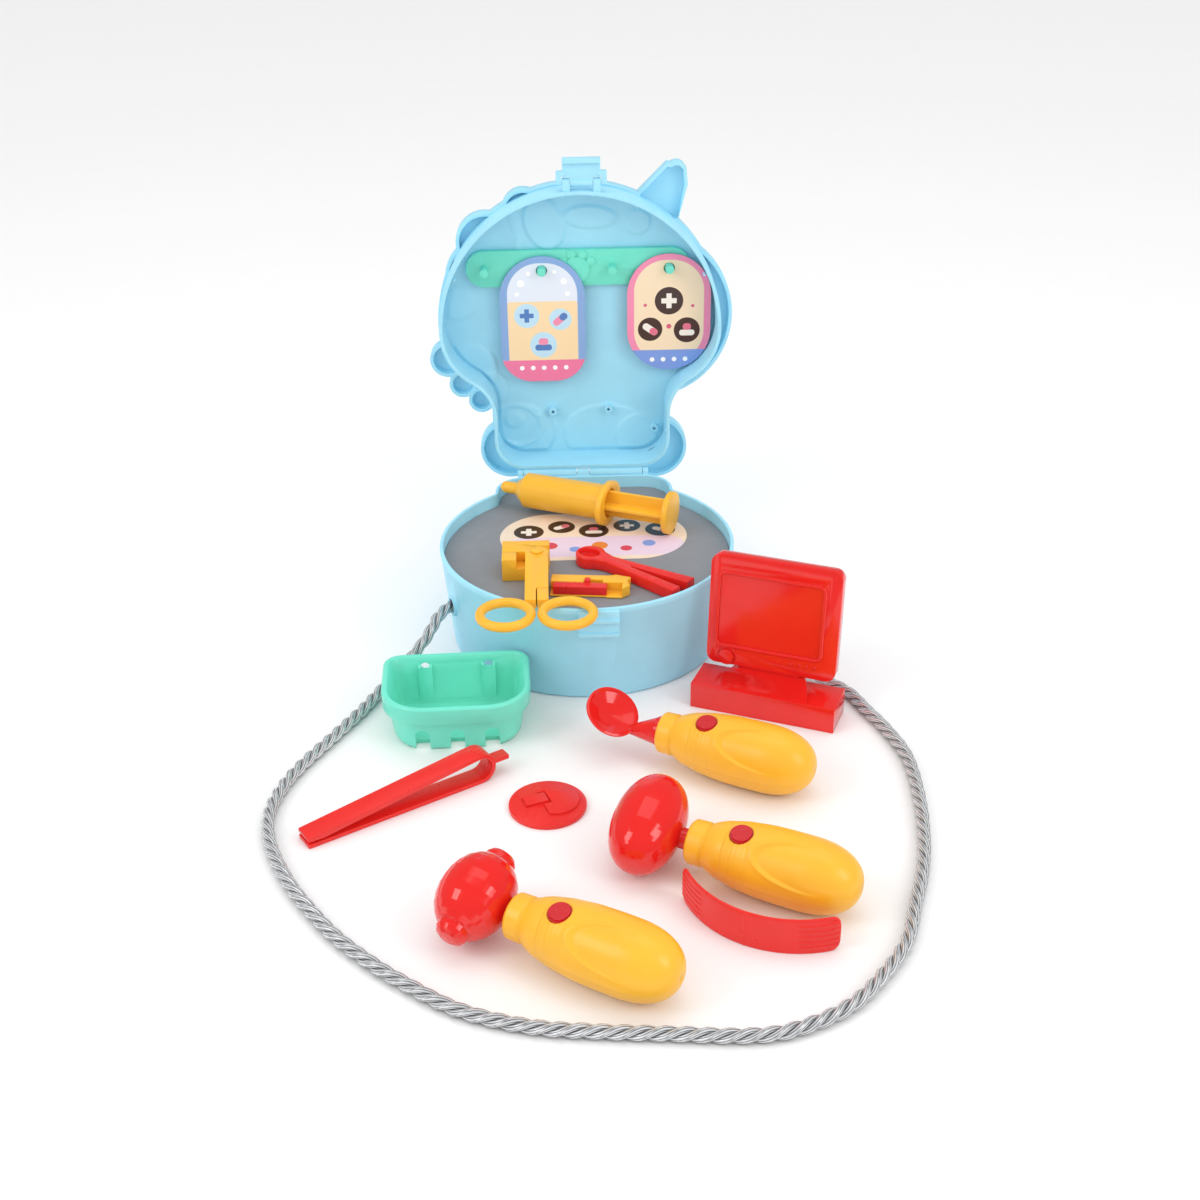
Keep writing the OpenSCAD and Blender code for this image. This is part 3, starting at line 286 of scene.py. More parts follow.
# Sizes of the prints: the card's hole is its origin, and the sticker's middle its own
LEFT_HOLE, RIGHT_HOLE, STICKER = (-0.0265, 0, 0.2183), (0.064, 0, 0.2183), (0.005, 0.022, 0)
LEFT_PRINT = [
    (0, -36.5, 50, 84, 23, 0, "E4ECF8"), (0, -46, 50, 47, 2, 0, "FADDB0"), (0, -78, 70, 23, 0.5, 0, "F27CA6"),
    *[disc(*d, "FFFFFF") for d in [(-15, -9, 2.6), (-9.5, -2, 1.6), (15.5, -8, 2.2), (9, -1, 1.4), (-18, -17, 1.5), (18, -17, 1.8)]],
    disc(-11.5, -33, 9, "BFE3F5"), disc(12.5, -36, 8, "BFE3F5"), disc(0, -55, 9.6, "BFE3F5"),
    *plus(-11.5, -33, 10, "4F7FC0"), *pill(12.5, -36, 12, 40, "F291B2", "4F7FC0"),
    (0, -57, 12, 4.6, 2, 0, "4F7FC0"), (0, -52.5, 7, 5, 2.3, 0, "F291B2"),
    *[disc(x, -72.5, 1.7, "FFFFFF") for x in (-16, -8, 0, 8, 16)]]
RIGHT_PRINT = [
    (0, -32, 50, 76, 23, 0, "F8E0BE"), (0, -74, 70, 26.5, 0.5, 0, "7E9FE2"),
    disc(0, -24, 10.2, "3F2A28"), disc(-13.5, -45, 8.8, "3F2A28"), disc(13, -46, 9.4, "3F2A28"),
    *plus(0, -24, 11, "F6EDE2"), *pill(-13.5, -45, 12, -35, "F6EDE2", "E4728C"),
    (13, -48, 11, 4.4, 2, 0, "F6EDE2"), (13, -43.5, 6, 5, 2.3, 0, "E4728C"),
    *[disc(*d, "D9607E") for d in [(0, -43, 1.8), (-17, -27, 1.2), (17, -28, 1.2)]],
    *[disc(x, -68, 1.7, "FFFFFF") for x in (-12, -4, 4, 12)]]
STICKER_PRINT = [
    (0, -16, 124, 30, 14, 0, "E9D3E6"),
    *[disc(x, y, r, "33231F") for x, y, r in [(-45, 8, 10.5), (-22, 15, 9.5), (0.5, 8, 10.5), (24, 15, 9.5), (47, 8, 10.5)]],
    *plus(-45, 8, 11, "F2E9DF"), *pill(-22, 15, 12, 30, "F2E9DF", "D96C7E"), (0.5, 6, 12, 4.6, 2, 0, "F2E9DF"),
    (0.5, 11, 6.5, 5, 2.3, 0, "D96C7E"), *plus(24, 15, 10, "F2E9DF"), *pill(47, 8, 12, -30, "F2E9DF", "D96C7E"),
    *[disc(*d) for d in [(-30, -14, 5, "D9415A"), (-13, -20, 4, "7E9FE2"), (4, -15, 5.5, "E8863C"), (22, -20, 4, "D9415A"),
                         (38, -13, 4.5, "7E9FE2"), (-46, -12, 3, "E8863C")]]]


# Building

def mesh_object(name, points, faces, uv=None):
    """A mesh from whole arrays of points and faces, in millimetres, with doubles merged and faces turned outwards."""
    mesh = bpy.data.meshes.new(name)
    mesh.from_pydata((np.asarray(points, float) * MM).tolist(), [], [list(map(int, f)) for f in faces])
    if uv is not None:
        mesh.uv_layers.new(name="strand").data.foreach_set("uv", np.asarray(uv, np.float32).ravel())
    shape = bmesh.new()
    shape.from_mesh(mesh)
    bmesh.ops.remove_doubles(shape, verts=shape.verts, dist=2e-6)
    bmesh.ops.recalc_face_normals(shape, faces=shape.faces)
    shape.to_mesh(mesh)
    shape.free()
    mesh.polygons.foreach_set("use_smooth", [True] * len(mesh.polygons))
    piece = bpy.data.objects.new(name, mesh)
    bpy.context.scene.collection.objects.link(piece)
    return piece


def grid_faces(rows, columns, wrap_rows=False, wrap_columns=False, first=0):
    """Four-sided faces between neighbouring points of a grid, and over the wrap where it closes on itself."""
    i, j = np.meshgrid(np.arange(rows if wrap_rows else rows - 1), np.arange(columns if wrap_columns else columns - 1),
                       indexing="ij")
    i2, j2 = (i + 1) % rows, (j + 1) % columns
    quads = np.stack([i * columns + j, i2 * columns + j, i2 * columns + j2, i * columns + j2], -1)
    return quads.reshape(-1, 4) + first


def dress(piece, body, slot, material, *replaced):
    """Puts a finished piece on its body, gives it its finish and hides the CAD nodes that it stands for."""
    piece.data.materials.clear()
    piece.data.materials.append(material)
    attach(piece, body)
    if replaced:
        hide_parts(*replaced)
    return piece


def rounded(node, radius, material, sharp=34, segments=2):
    """A copy of a moulded CAD piece with its flat faces joined and its edges rounded off, shown in its place."""
    shape = bmesh.new()
    shape.from_mesh(nodes[node].data)
    bmesh.ops.remove_doubles(shape, verts=shape.verts, dist=2e-6)
    bmesh.ops.dissolve_limit(shape, angle_limit=math.radians(0.8), verts=shape.verts, edges=shape.edges)
    mesh = bpy.data.meshes.new(node + "_moulding")
    shape.to_mesh(mesh)
    shape.free()
    mesh.polygons.foreach_set("use_smooth", [True] * len(mesh.polygons))
    piece = bpy.data.objects.new(node + "_moulding", mesh)
    bpy.context.scene.collection.objects.link(piece)
    edge = piece.modifiers.new("edge", "BEVEL")
    edge.width, edge.segments, edge.limit_method = radius * MM, segments, "ANGLE"
    edge.angle_limit, edge.harden_normals, edge.miter_outer = math.radians(sharp), True, "MITER_ARC"
    return dress(piece, body_of_node[node], slot_of[node], material, node)


def smooth_path(points):
    """A smooth curve through route points, by the same spline as the CAD rope, resampled every 1.2 mm."""
    p = np.asarray(points, float)
    t = np.linspace(0, 1, 16, endpoint=False)[:, None]
    runs = []
    for a, b, c, d in zip(p[:-3], p[1:-2], p[2:-1], p[3:]):
        runs.append(0.5 * (2 * b + (c - a) * t + (2 * a - 5 * b + 4 * c - d) * t ** 2 + (3 * b - a - 3 * c + d) * t ** 3))
    line = np.concatenate([p[:1], *runs, p[-2:]])
    along = np.concatenate([[0], np.cumsum(np.linalg.norm(np.diff(line, axis=0), axis=1))])
    steps = np.linspace(0, along[-1], int(along[-1] / 1.2) + 1)
    return np.stack([np.interp(steps, along, line[:, k]) for k in range(3)], 1), steps


def unit(v):
    return v / np.linalg.norm(v, axis=-1, keepdims=True)


def stranded(path, steps, diameter, lay, sides=14, closed=False):
    """Three round strands laid round a path. A strand's middle circles the path once in each lay length,
    and a small circle round that middle, square to the path, is its surface."""
    along = np.roll(path, -1, 0) - np.roll(path, 1, 0) if closed else np.gradient(path, axis=0)
    along = unit(along)
    across = unit(np.cross(along, [0.02, 0.01, 1.0]))
    up = np.cross(across, along)
    strand_r = 0.25 * diameter
    points, faces, uv = [], [], []
    n = len(path)
    for k in range(3):
        turn = (2 * np.pi * steps / lay + k * 2 * np.pi / 3)[:, None]
        middle = path + (diameter / 2 - strand_r) * (across * np.cos(turn) + up * np.sin(turn))
        a = (2 * np.pi * np.arange(sides) / sides)[None, :] + turn
        ring = middle[:, None] + strand_r * (across[:, None] * np.cos(a)[..., None] + up[:, None] * np.sin(a)[..., None])
        quads = grid_faces(n, sides, closed, True)
        i, j = quads[:, 0] // sides, quads[:, 0] % sides
        corners = np.stack([np.stack([i, j], -1), np.stack([i + 1, j], -1), np.stack([i + 1, j + 1], -1), np.stack([i, j + 1], -1)], 1)
        # Across the strand the map runs from 0 to 0.9 in nine yarns, and slides along the lay
        v = corners[..., 1] / sides * 2.7 + np.interp(corners[..., 0], np.arange(n), steps) * 0.06
        uv.append(np.stack([corners[..., 0] * 0.012, v], -1).reshape(-1, 2))
        faces += list(quads + k * n * sides)
        points.append(ring.reshape(-1, 3))
        if not closed:
            for end in (range(sides - 1, -1, -1), range((n - 1) * sides, n * sides)):
                faces.append([k * n * sides + e for e in end])
                uv.append(np.zeros((sides, 2)))
    return np.concatenate(points), faces, np.concatenate(uv)


ROPE_LAY = 31
HOLE_TURN, ROPE_START = math.radians(20), 91.46


def rope_route():
    """The rope's route in the CAD source: out of the left hole, round the front on the floor, into the right hole."""
    def at_hole(side, r):
        return (side * r * math.cos(HOLE_TURN), -r * math.sin(HOLE_TURN), 39)
    middle = [(-101, -46, 37), (-107, -56, 30), (-115, -64, 22), (-125, -70, 13), (-134, -79, 7), (-141, -90, 4.3),
              (-149, -108, 4.1), (-164, -138, 4.1), (-179, -167, 4.1), (-188, -191, 4.1), (-192, -218, 4.1),
              (-187, -247, 4.1), (-172, -282, 4.1), (-154, -311, 4.1), (-140, -330, 4.1), (-122, -349, 4.1),
              (-104, -365, 4.1), (-74, -387, 4.1), (-39, -400, 4.1), (-5, -405, 4.1), (29, -408, 4.1), (67, -411, 4.1),
              (92, -407, 4.1), (120, -392, 4.1), (142, -368, 4.1), (157, -345, 4.1), (167, -317, 4.1), (177, -287, 4.1),
              (184, -256, 4.1), (189, -217, 4.1), (190, -177, 4.1), (183, -146, 4.1), (175, -124, 4.1), (167, -102, 4.1),
              (155, -87, 4.3), (143, -77, 8), (132, -69, 14), (122, -61, 22), (113, -53, 30), (104, -43, 37)]
    return [at_hole(-1, ROPE_START), at_hole(-1, ROPE_START + 8), *middle, at_hole(1, ROPE_START + 8), at_hole(1, ROPE_START)]


def carrying_rope(material):
    path, steps = smooth_path(rope_route())
    points, faces, uv = stranded(path, steps, 8, ROPE_LAY)
    rope = dress(mesh_object("twisted_carry_rope", points, faces, uv), "base", "rope", material, "carry_rope")
    for side, name in ((-1, "left"), (1, "right")):
        # A knot is a three-lobed loop: twice round the circle while it winds in and out three times
        t = np.linspace(0, 2 * np.pi, 120, endpoint=False)
        loop = 1.75 * np.stack([np.sin(t) + 1.6 * np.sin(2 * t), -1.2 * np.sin(3 * t), np.cos(t) - 1.6 * np.cos(2 * t)], 1)
        c, s = side * math.cos(HOLE_TURN), -math.sin(HOLE_TURN)
        low, high = (np.array(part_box("rope_knot_" + name)[k]) / MM for k in (0, 1))
        middle = (low + high) / 2
        loop = middle + loop[:, :1] * [-s, c, 0] + loop[:, 1:2] * [c, s, 0] + loop[:, 2:] * [0, 0, 1]
        length = np.concatenate([[0], np.cumsum(np.linalg.norm(np.diff(loop, axis=0), axis=1))])
        lay = (length[-1] + np.linalg.norm(loop[0] - loop[-1])) / 3
        points, faces, uv = stranded(loop, length, 6.2, lay, 10, True)
        dress(mesh_object("tied_rope_knot_" + name, points, faces, uv), "base", "rope", material,
                           "rope_knot_" + name)


# The lid's face, inside and out

def lid_edge(inset):
    """The lid's outline moved inwards, as in the CAD source: a round lobe, small shoulders, wide hollows, a neck."""
    def arc(cx, cy, r, a, b, n):
        t = np.radians(np.linspace(a, b, n + 1))
        return np.stack([cx + r * np.cos(t), cy + r * np.sin(t)], 1)
    shoulder, hollow, neck, corner = 44, 30, 64, 22
    reach = math.sqrt((shoulder + hollow) ** 2 - (neck + hollow - 100 + shoulder) ** 2)
    end = math.degrees(math.atan2(reach, neck + hollow - 100 + shoulder))
    back = math.sqrt(106 ** 2 - 70 ** 2) + 25.4
    half = np.concatenate([arc(0, 0, 100 - inset, -90, 0, 40), arc(56, 0, shoulder - inset, end / 12, end, 11),
                           arc(94, reach, hollow + inset, 180 + end, 180, 12),
                           arc(neck - corner, back - corner, corner - inset, 0, 90, 10)])
    left = (half * [-1, 1])[::-1]
    return np.concatenate([half, left[np.abs(left[:, 0]) > 0.01]])


def lid_world(u, v, w):
    """A point of the open lid: across, up from its round lobe's middle, and back from the hinge."""
    return np.stack([u, 109 + w, 179 + v], -1)


def stroke(u, v, points, half_width):
    """How far inside a bent line's width each point is, from 0 at its edge to 1 on the line."""
    best = np.full(u.shape, 1e9)
    for (a, b), (c, d) in zip(points[:-1], points[1:]):
        t = np.clip(((u - a) * (c - a) + (v - b) * (d - b)) / ((c - a) ** 2 + (d - b) ** 2), 0, 1)
        best = np.minimum(best, np.hypot(u - a - t * (c - a), v - b - t * (d - b)))
    return np.clip(1 - best / half_width, 0, 1)


def oval(u, v, x, y, a, b, turn=0):
    """Distance from an oval's middle as a share of its edge distance."""
    c, s = math.cos(math.radians(turn)), math.sin(math.radians(turn))
    return np.hypot(((u - x) * c + (v - y) * s) / a, ((v - y) * c - (u - x) * s) / b)


def step(x):
    x = np.clip(x, 0, 1)
    return x * x * (3 - 2 * x)


def lid_relief(material):
    """The moulded waves inside the lid: a height over its face, the sum of soft-edged ovals, swirls and ridges.
    Its grid runs from the middle out to the lid's edge, and a flat back inside the plate closes it."""
    edge = lid_edge(2.2) * [1, -1]
    dense = np.concatenate([edge, edge[:1]])
    length = np.concatenate([[0], np.cumsum(np.linalg.norm(np.diff(dense, axis=0), axis=1))])
    at = np.linspace(0, length[-1], 460, endpoint=False)
    rim = np.stack([np.interp(at, length, dense[:, k]) for k in (0, 1)], 1)
    middle = np.array([0, -22.0])
    share = np.sqrt(np.linspace(0.004, 1, 100))[:, None, None]
    spots = middle + share * (rim - middle)[None]
    u, v = spots[..., 0], spots[..., 1]
    h = np.full(u.shape, 0.12)
    h += 1.7 * step((1 - oval(u, v, -24, 71, 15, 21, 20)) / 0.18)
    h += 0.9 * step(stroke(u, v, [(-47, 78), (-43, 64), (-43, 52)], 4.5))
    h += 1.6 * step((1 - oval(u, v, 8, 75, 22, 9.5, -3)) / 0.3)
    h += 1.3 * step((1 - oval(u, v, 42, 71, 10.5, 10.5)) / 0.3)
    h += 1.6 * step((1 - oval(u, v, -83, -36, 24, 22)) / 0.14)
    h += 1.5 * step((1 - oval(u, v, -66, -52, 14.5, 16)) / 0.2)
    h += 0.9 * step((1 - oval(u, v, -88, 14, 16, 14)) / 0.3)
    ring = oval(u, v, -46, -86, 27, 24, -10)
    h += 2.0 * step((1 - ring) / 0.1) - 0.9 * step((1 - oval(u, v, -48, -80, 17, 15, -20)) / 0.14)
    h += 1.3 * step((1 - oval(u, v, -50, -76, 9, 8)) / 0.5)
    h += 1.1 * step(stroke(u, v, [(-60, -93), (-46, -97), (-34, -92), (-29, -83), (-31, -73)], 2.4))
    h += 1.3 * step((1 - oval(u, v, 22, -92, 37, 27, -14)) / 0.08)
    h += 1.2 * step((1 - oval(u, v, 44, -92, 19.5, 20)) / 0.1)
    h *= step((1 - share[..., 0]) / 0.05)
    h[-1] = -0.5
    points = lid_world(u, v, 27.5 - h).reshape(-1, 3)
    n, m = u.shape
    faces = list(grid_faces(n, m, False, True))
    points = np.concatenate([points, [lid_world(np.float64(middle[0]), np.float64(middle[1]), 27.5 - h[0, 0])],
                             [lid_world(np.float64(middle[0]), np.float64(middle[1]), 28.6)]])
    for j in range(m):
        faces += [(n * m, j, (j + 1) % m), (n * m + 1, (n - 1) * m + (j + 1) % m, (n - 1) * m + j)]
    return dress(mesh_object("lid_inner_waves", points, faces), "lid", "case_plastic", material)


def dome(x, y, r, high, rings=14, around=72, inner=0.0):
    """A shallow dome on the lid's outer face: its height falls from the middle to the edge as a quarter circle."""
    t = np.linspace(inner, 1, rings)[:, None]
    a = np.linspace(0, 2 * np.pi, around, endpoint=False)[None]
    height = high * np.sqrt(np.clip(1 - t ** 3, 0, 1)) - 0.3 * (t == 1)
    return np.stack([x + r * t * np.cos(a), y + r * t * np.sin(a), height + 0 * a], -1)


def lid_front(material):
    """Plain domes that follow the scallops of the lid's outer face, and a plain raised cross in the middle."""
    points, faces = [], []
    for x, y, r, high in [(-38, -80, 12, 3), (-62, -58, 17, 3.4), (-66, -33, 21, 3.8), (-92, 26, 12, 2.6), (-83, 45, 10, 2.6),
                          (-69, 57, 9, 2.4), (-52, 96, 19, 3), (54, 97, 20, 3), (56, -20, 36, 4), (0, 22, 46, 3)]:
        shape = dome(x, y, r, high)
        n, m = shape.shape[:2]
        base = sum(len(q) for q in points)
        points += [shape.reshape(-1, 3), [[x, y, high], [x, y, -0.6]]]
        faces += list(grid_faces(n, m, False, True, base))
        for j in range(m):
            faces += [(base + n * m, base + j, base + (j + 1) % m),
                      (base + n * m + 1, base + (n - 1) * m + (j + 1) % m, base + (n - 1) * m + j)]
    # The cross: a rounded plus outline raised 2 mm, with sides that lean in
    arm, half = 26, 9
    corners = [(half, arm), (half, half), (arm, half), (arm, -half), (half, -half), (half, -arm), (-half, -arm), (-half, -half),
               (-arm, -half), (-arm, half), (-half, half), (-half, arm)]
    base = sum(len(q) for q in points)
    for k, (shrink, z) in enumerate([(0, 1.0), (0.4, 4.6), (1.4, 5.0)]):
        points.append([[x - math.copysign(shrink, x), 22 + y - math.copysign(shrink, y), z] for x, y in corners])
    faces += list(grid_faces(3, 12, False, True, base)) + [[base + k for k in range(12)], [base + 24 + k for k in range(11, -1, -1)]]
    flat = np.concatenate([np.asarray(q, float).reshape(-1, 3) for q in points])
    placed = np.stack([flat[:, 0], 139 + flat[:, 2], 179 - flat[:, 1]], 1)
    piece = mesh_object("lid_front_domes", placed, faces)
    edge = piece.modifiers.new("edge", "BEVEL")
    edge.width, edge.segments, edge.limit_method, edge.angle_limit = 0.8 * MM, 2, "ANGLE", math.radians(50)
    return dress(piece, "lid", "case_plastic", material)


def snap_ribs(material):
    """Small snap ribs on the lid's wall just inside its rim, each a half-round bar that fades into the wall."""
    points, faces = [], []
    for u, v in [(-41, 87), (-11, 95.6), (10.5, 95.8), (40, 87.5), (-87, 39), (87, 39), (-61, -78), (61, -78)]:
        out = np.array([u, v - (0 if v > 0 else v)]) if v < 0 else np.array([u, v])
        out = out / np.linalg.norm(out)
        side = np.array([-out[1], out[0]])
        a, t = np.meshgrid(np.linspace(0, np.pi, 9), np.linspace(0, 1, 8), indexing="ij")
        r = 1.3 * np.sqrt(np.clip(1 - (2 * t - 1) ** 4, 0, 1)) + 0.02
        across = (r * np.cos(a))[..., None] * side - (1.1 * r * np.sin(a) - 1.0)[..., None] * out
        spot = np.array([u, v]) + across
        base = sum(len(q) for q in points)
        points.append(lid_world(spot[..., 0], spot[..., 1], 0.6 + 6 * t).reshape(-1, 3))
        faces += list(grid_faces(9, 8, True, False, base)) + [[base + k * 8 for k in range(9)], [base + k * 8 + 7 for k in range(8, -1, -1)]]
    return dress(mesh_object("lid_snap_ribs", np.concatenate(points), faces), "lid", "case_plastic", material)


# The light-up handles

HANDLE_R = 20.6
HANDLE_SHAPE = np.array([[0, 0.56], [1, 0.61], [9, 0.62], [10, 0.58], [12, 0.65], [18, 0.78], [30, 0.91], [44, 0.985], [57, 1],
                         [66, 1], [74, 0.975], [80, 0.93], [84, 0.875], [88, 0.79], [91, 0.695], [94, 0.56], [96, 0.43],
                         [97.3, 0.28], [98, 0]])
TOOLS = {"mirror": (40.9, -166.3, -28), "mallet": (49.9, -276.3, -28.3), "hammer": (-47, -335.2, -32)}
TOOL_ROLL = math.radians(15)


def handle_world(tool, local):
    """Handle points from its own frame, nose at the origin and length along X, to where it lies."""
    x, y, turn = TOOLS[tool]
    c, s = math.cos(TOOL_ROLL), math.sin(TOOL_ROLL)
    rolled = np.stack([local[..., 0], local[..., 1] * c - local[..., 2] * s, local[..., 1] * s + local[..., 2] * c], -1)
    c, s = math.cos(math.radians(turn)), math.sin(math.radians(turn))
    return np.stack([x + rolled[..., 0] * c - rolled[..., 1] * s, y + rolled[..., 0] * s + rolled[..., 1] * c,
                     HANDLE_R + rolled[..., 2]], -1)


def handle_shell(tool, side, material):
    """Half of a handle's skin, turned about its length. The radius follows the handle's profile; on the upper half
    an oval thumb hollow is pressed in, whose edge fades towards the round end, and a well for the button."""
    s = np.unique(np.concatenate([np.linspace(0, 98, 150), np.linspace(23, 39, 44), np.linspace(92, 98, 26)]))
    profile = np.interp(s, HANDLE_SHAPE[:, 0], HANDLE_SHAPE[:, 1] * HANDLE_R)
    tip = s > 66
    profile[tip] = HANDLE_R * (1 - ((s[tip] - 66) / 32) ** 2.3) ** (1 / 2.3)
    soft = np.convolve(np.pad(profile, 4, mode="edge"), np.ones(9) / 9, "valid")
    body = (s > 13) & (s < 66)
    profile[body] = soft[body]
    phi = np.radians(np.linspace(-90, 90, 150))
    S, P = np.meshgrid(s, phi, indexing="ij")
    R = np.repeat(profile[:, None], len(phi), 1)
    if side > 0:
        inside = 1 - np.hypot((S - 77) / 37, (np.degrees(P) - 30) / 40)
        R = R - 1.25 * step(inside / 0.13) * (1 - step((S - 56) / 30))
        R = R + 0.35 * np.exp(-(inside / 0.05) ** 2) * (1 - step((S - 52) / 26))
        R = np.where(np.hypot(S - 31, profile[:, None] * np.sin(P)) < 6.65, R - 1.9, R)
    inner = np.maximum(profile - 2, 0)
    s_in, r_in = s[(s > 2) & (s < 96)], inner[(s > 2) & (s < 96)]
    outer = np.concatenate([[[0, 6.3]], np.stack([s, profile], 1)])
    rows_s = np.concatenate([[0], s, [96], s_in[::-1], [2, 2]])
    rows_r = np.concatenate([np.full((1, len(phi)), 6.3), R, np.zeros((1, len(phi))),
                             np.repeat(r_in[::-1][:, None], len(phi), 1), np.full((1, len(phi)), r_in[0]), np.full((1, len(phi)), 6.3)])
    local = np.stack([np.repeat(rows_s[:, None], len(phi), 1), -rows_r * np.sin(phi), side * rows_r * np.cos(phi)], -1)
    n, m = local.shape[:2]
    faces = list(grid_faces(n, m, True, False)) + [[k * m for k in range(n)], [k * m + m - 1 for k in range(n - 1, -1, -1)]]
    name = f"{tool}_tool_{'upper' if side > 0 else 'lower'}_grip"
    part = f"{tool}_tool_shell_{'upper' if side > 0 else 'lower'}"
    return dress(mesh_object(name, handle_world(tool, local).reshape(-1, 3), faces), f"{tool}_tool", "yellow_plastic", material, part)


# Monitor, head band and button rims

def monitor_face(x, y, z):
    """Points of the monitor's screen: across, back and up from the middle of its foot, leaning back 6 degrees."""
    c, s = math.cos(math.radians(-6)), math.sin(math.radians(-6))
    x, y, z = x + 45.85, y * c - z * s + 24.2, y * s + z * c + 22.5
    c, s = math.cos(math.radians(-23)), math.sin(math.radians(-23))
    return np.stack([63 + x * c - y * s, -106 + x * s + y * c, z], -1)


def bead(points, r, high, closed=True):
    """A half-round bead carried along a closed line on the screen's face."""
    line = np.asarray(points, float)
    along = unit(np.roll(line, -1, 0) - np.roll(line, 1, 0))
    out = np.stack([along[:, 1], -along[:, 0]], 1)
    a = np.linspace(0, 2 * np.pi, 12, endpoint=False)
    spot = line[:, None] + r * np.cos(a)[None, :, None] * out[:, None]
    return monitor_face(spot[..., 0], -1.8 - high * np.sin(a)[None] + 0 * spot[..., 0], spot[..., 1])


def monitor_trim(material):
    """The screen's raised frame, a ring round its knob, and four small bumps under its lower right corner."""
    def box(x0, x1, z0, z1, c):
        t = np.linspace(0, np.pi / 2, 8)
        return np.concatenate([np.stack([x + c * np.cos(t + k * np.pi / 2), z + c * np.sin(t + k * np.pi / 2)], 1)
                               for k, (x, z) in enumerate([(x1 - c, z1 - c), (x0 + c, z1 - c), (x0 + c, z0 + c), (x1 - c, z0 + c)])])
    def circle(x, z, r):
        t = np.linspace(0, 2 * np.pi, 40, endpoint=False)
        return np.stack([x + r * np.cos(t), z + r * np.sin(t)], 1)
    rings = [bead(box(-36.9, 32.4, 13.2, 63.8, 4.2), 1.3, 1.0), bead(circle(-29.15, 6.4, 5.9), 0.6, 0.7)]
    rings += [bead(circle(x, 8.2, 0.7), 0.7, 0.8) for x in (14, 19, 24, 29)]
    points, faces = [], []
    for ring in rings:
        base = sum(len(q) for q in points)
        points.append(ring.reshape(-1, 3))
        faces += list(grid_faces(*ring.shape[:2], True, True, base))
    return dress(mesh_object("monitor_screen_frame", np.concatenate(points), faces), "monitor_screen", "red_plastic", material)


def ribbed_band(material):
    """The head band: a strip bent to 61 mm radius that stands on its edge. Its outer face carries five ridges along
    each end and one line across the middle; both faces meet in rounded long edges, and its corners are round."""
    theta, z = np.linspace(191, 288, 240), np.linspace(0, 1, 64)
    T, Z = np.meshgrid(theta, z, indexing="ij")
    from_end = np.minimum(T - 191, 288 - T) * math.pi * 61 / 180
    cut = 5 - np.sqrt(np.clip(25 - (5 - np.clip(from_end, 0, 5)) ** 2, 0, 25))
    height = cut + Z * (22 - 2 * cut)
    ends = step(from_end / 2) * (1 - step((from_end - 20) / 6))
    ridge = 0.55 * ends * np.clip(np.cos(2 * np.pi * (height - 11) / 3.4), 0, 1) * (np.abs(height - 11) < 8.5)
    line = 0.35 * np.exp(-((T - 239.5) * 61 * math.pi / 180 / 0.5) ** 2)
    soft = 0.5 * (1 - np.sqrt(np.clip(1 - (2 * Z - 1) ** 8, 0, 1)))
    outer, inner = 61 + ridge + line - soft, 59 + soft
    def place(r, t, h):
        return np.stack([103 + r * np.cos(np.radians(t)), -288 + r * np.sin(np.radians(t)), h], -1)
    loop = np.concatenate([place(outer, T, height), place(inner, T, height)[:, ::-1]], 1)
    n, m = loop.shape[:2]
    faces = list(grid_faces(n, m, False, True)) + [[k for k in range(m)], [(n - 1) * m + k for k in range(m - 1, -1, -1)]]
    # The peg at the end that hooks into the badge
    points = loop.reshape(-1, 3)
    a, t = np.meshgrid(np.linspace(0, 2 * np.pi, 20, endpoint=False), np.linspace(0, 1, 8), indexing="ij")
    r = 2.7 * np.sqrt(np.clip(1 - t ** 6, 0, 1))
    peg = place(59.8 - 5.6 * t, 288 - np.degrees((2.7 + r * np.cos(a)) / 60), 12 + r * np.sin(a))
    faces += list(grid_faces(20, 8, True, False, n * m)) + [[n * m + k * 8 for k in range(20)]]
    return dress(mesh_object("ribbed_head_band", np.concatenate([points, peg.reshape(-1, 3)]), faces), "head_band", "red_plastic",
                 material, "head_band")


photo_camera()
studio()
cord = twisted_cord()
carrying_rope(cord)

floor = mesh_object("studio_floor", [(-3000, -3000, 0), (3000, -3000, 0), (3000, 3000, 0), (-3000, 3000, 0)], [(0, 1, 2, 3)])
floor.data.materials.append(white_floor())

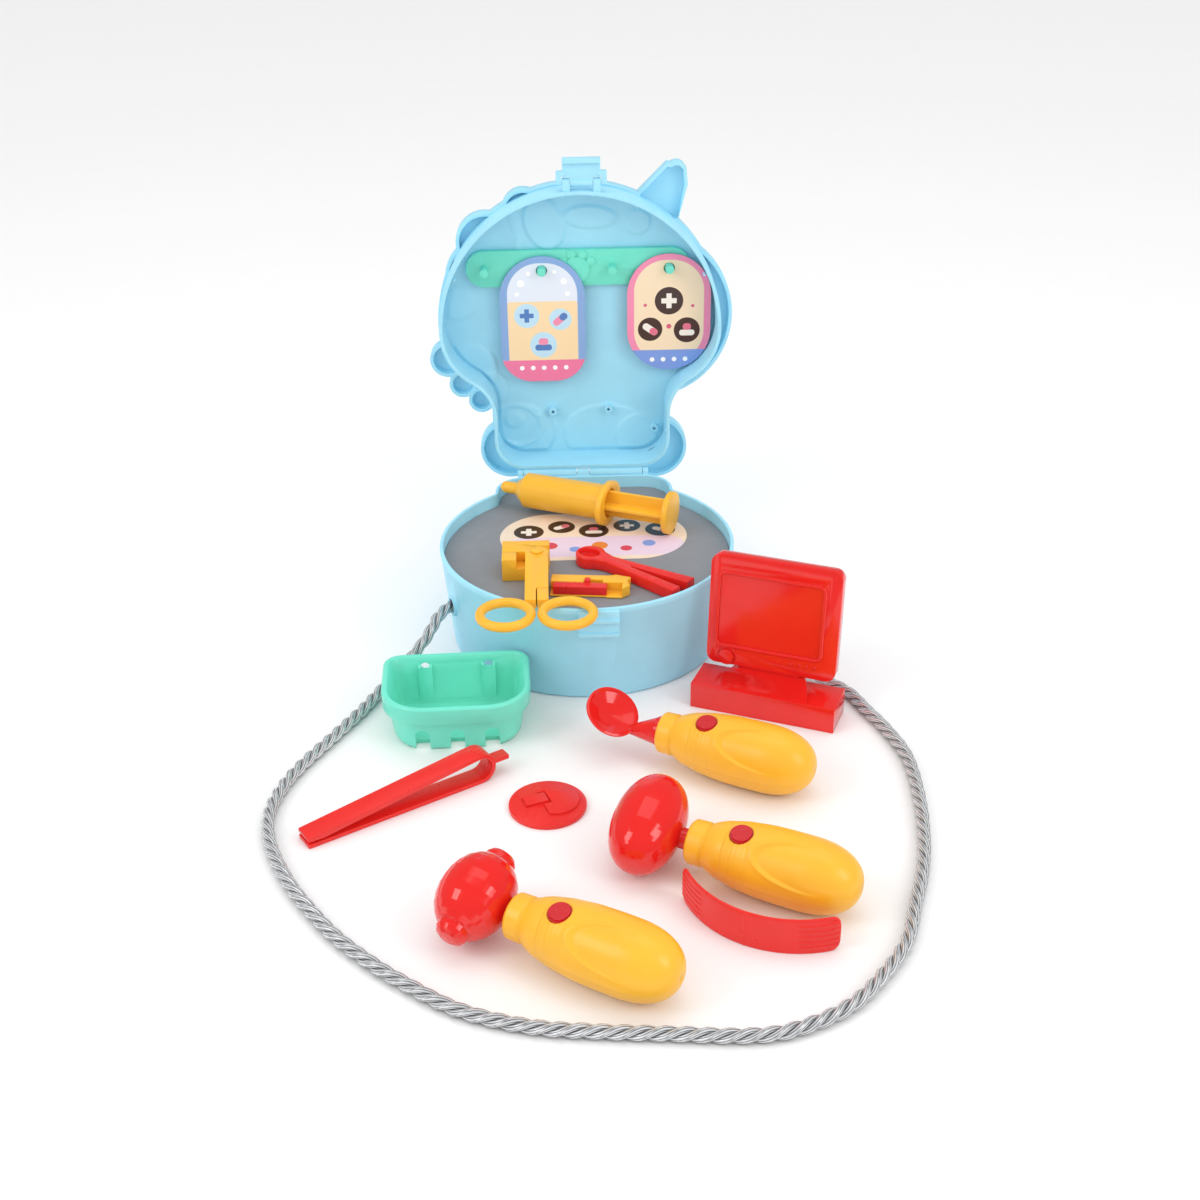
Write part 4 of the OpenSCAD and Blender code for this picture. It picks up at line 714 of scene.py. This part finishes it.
sky_blue = moulded("sky_blue_polypropylene", "A4E2F8", 0.42)
mint = moulded("mint_polypropylene", "72E4CB", 0.34, coat=0.1)
grey = moulded("grey_polystyrene_sheet", "8B8D92", 0.55, grain=0.03)
yellow = moulded("warm_yellow_abs", "F9B92C", 0.36, coat=0.12)
red = moulded("gloss_red_abs", "E5201B", 0.11, grain=0.004, coat=0.3)
satin_red = moulded("satin_red_polypropylene", "E8251F", 0.3, coat=0.05)
steel = drawn_steel()
milky = moulded("milky_lamp_epoxy", "F1F3EE", 0.15, soft=0.3)
green = circuit_board()
buttons = button_skin()
left_print = printed("print_on_left_card", ("X", "Z"), LEFT_HOLE, "86ABDD", LEFT_PRINT)
right_print = printed("print_on_right_card", ("X", "Z"), RIGHT_HOLE, "F48DB2", RIGHT_PRINT)
sticker = printed("print_on_tray_sticker", ("X", "Y"), STICKER, "F3DEC6", STICKER_PRINT, 0.4)

# Every CAD node gets its finish; those whose edges show are also rounded off
FINISH = {"case_plastic": sky_blue, "rope": cord, "steel": steel, "mint_plastic": mint, "tray_plastic": grey,
          "printed_sticker": sticker, "printed_card": left_print, "yellow_plastic": yellow, "red_plastic": satin_red,
          "lamp_white": milky, "board_green": green, "cell_metal": steel}
GLOSSY = {"mirror_tool_head", "mallet_tool_head", "hammer_tool_head", "monitor_base", "monitor_screen"}
for name, thing in nodes.items():
    finish = FINISH[slot_of[name]]
    finish = right_print if name == "card_right" else red if name in GLOSSY else buttons if name.endswith("_button") else finish
    thing.data.materials.clear()
    thing.data.materials.append(finish)

for name, radius in {"case_base": 0.5, "case_lid": 0.4, "hook_rail": 1.2, "latch": 0.5, "basket": 0.7, "monitor_base": 1.0,
                     "monitor_screen": 0.8, "tweezers": 0.5, "forceps": 0.9, "scissors_blade_left": 0.7,
                     "scissors_blade_right": 0.7, "thermometer_body": 0.5, "thermometer_slider": 0.5, "syringe_barrel": 0.6,
                     "syringe_plunger": 0.5, "head_mirror": 0.3, "scissors_rivet": 0.4}.items():
    rounded(name, radius, nodes[name].data.materials[0])
lid_relief(sky_blue)
lid_front(sky_blue)
snap_ribs(sky_blue)
for tool in TOOLS:
    for side in (1, -1):
        handle_shell(tool, side, yellow)
monitor_trim(red)
ribbed_band(satin_red)
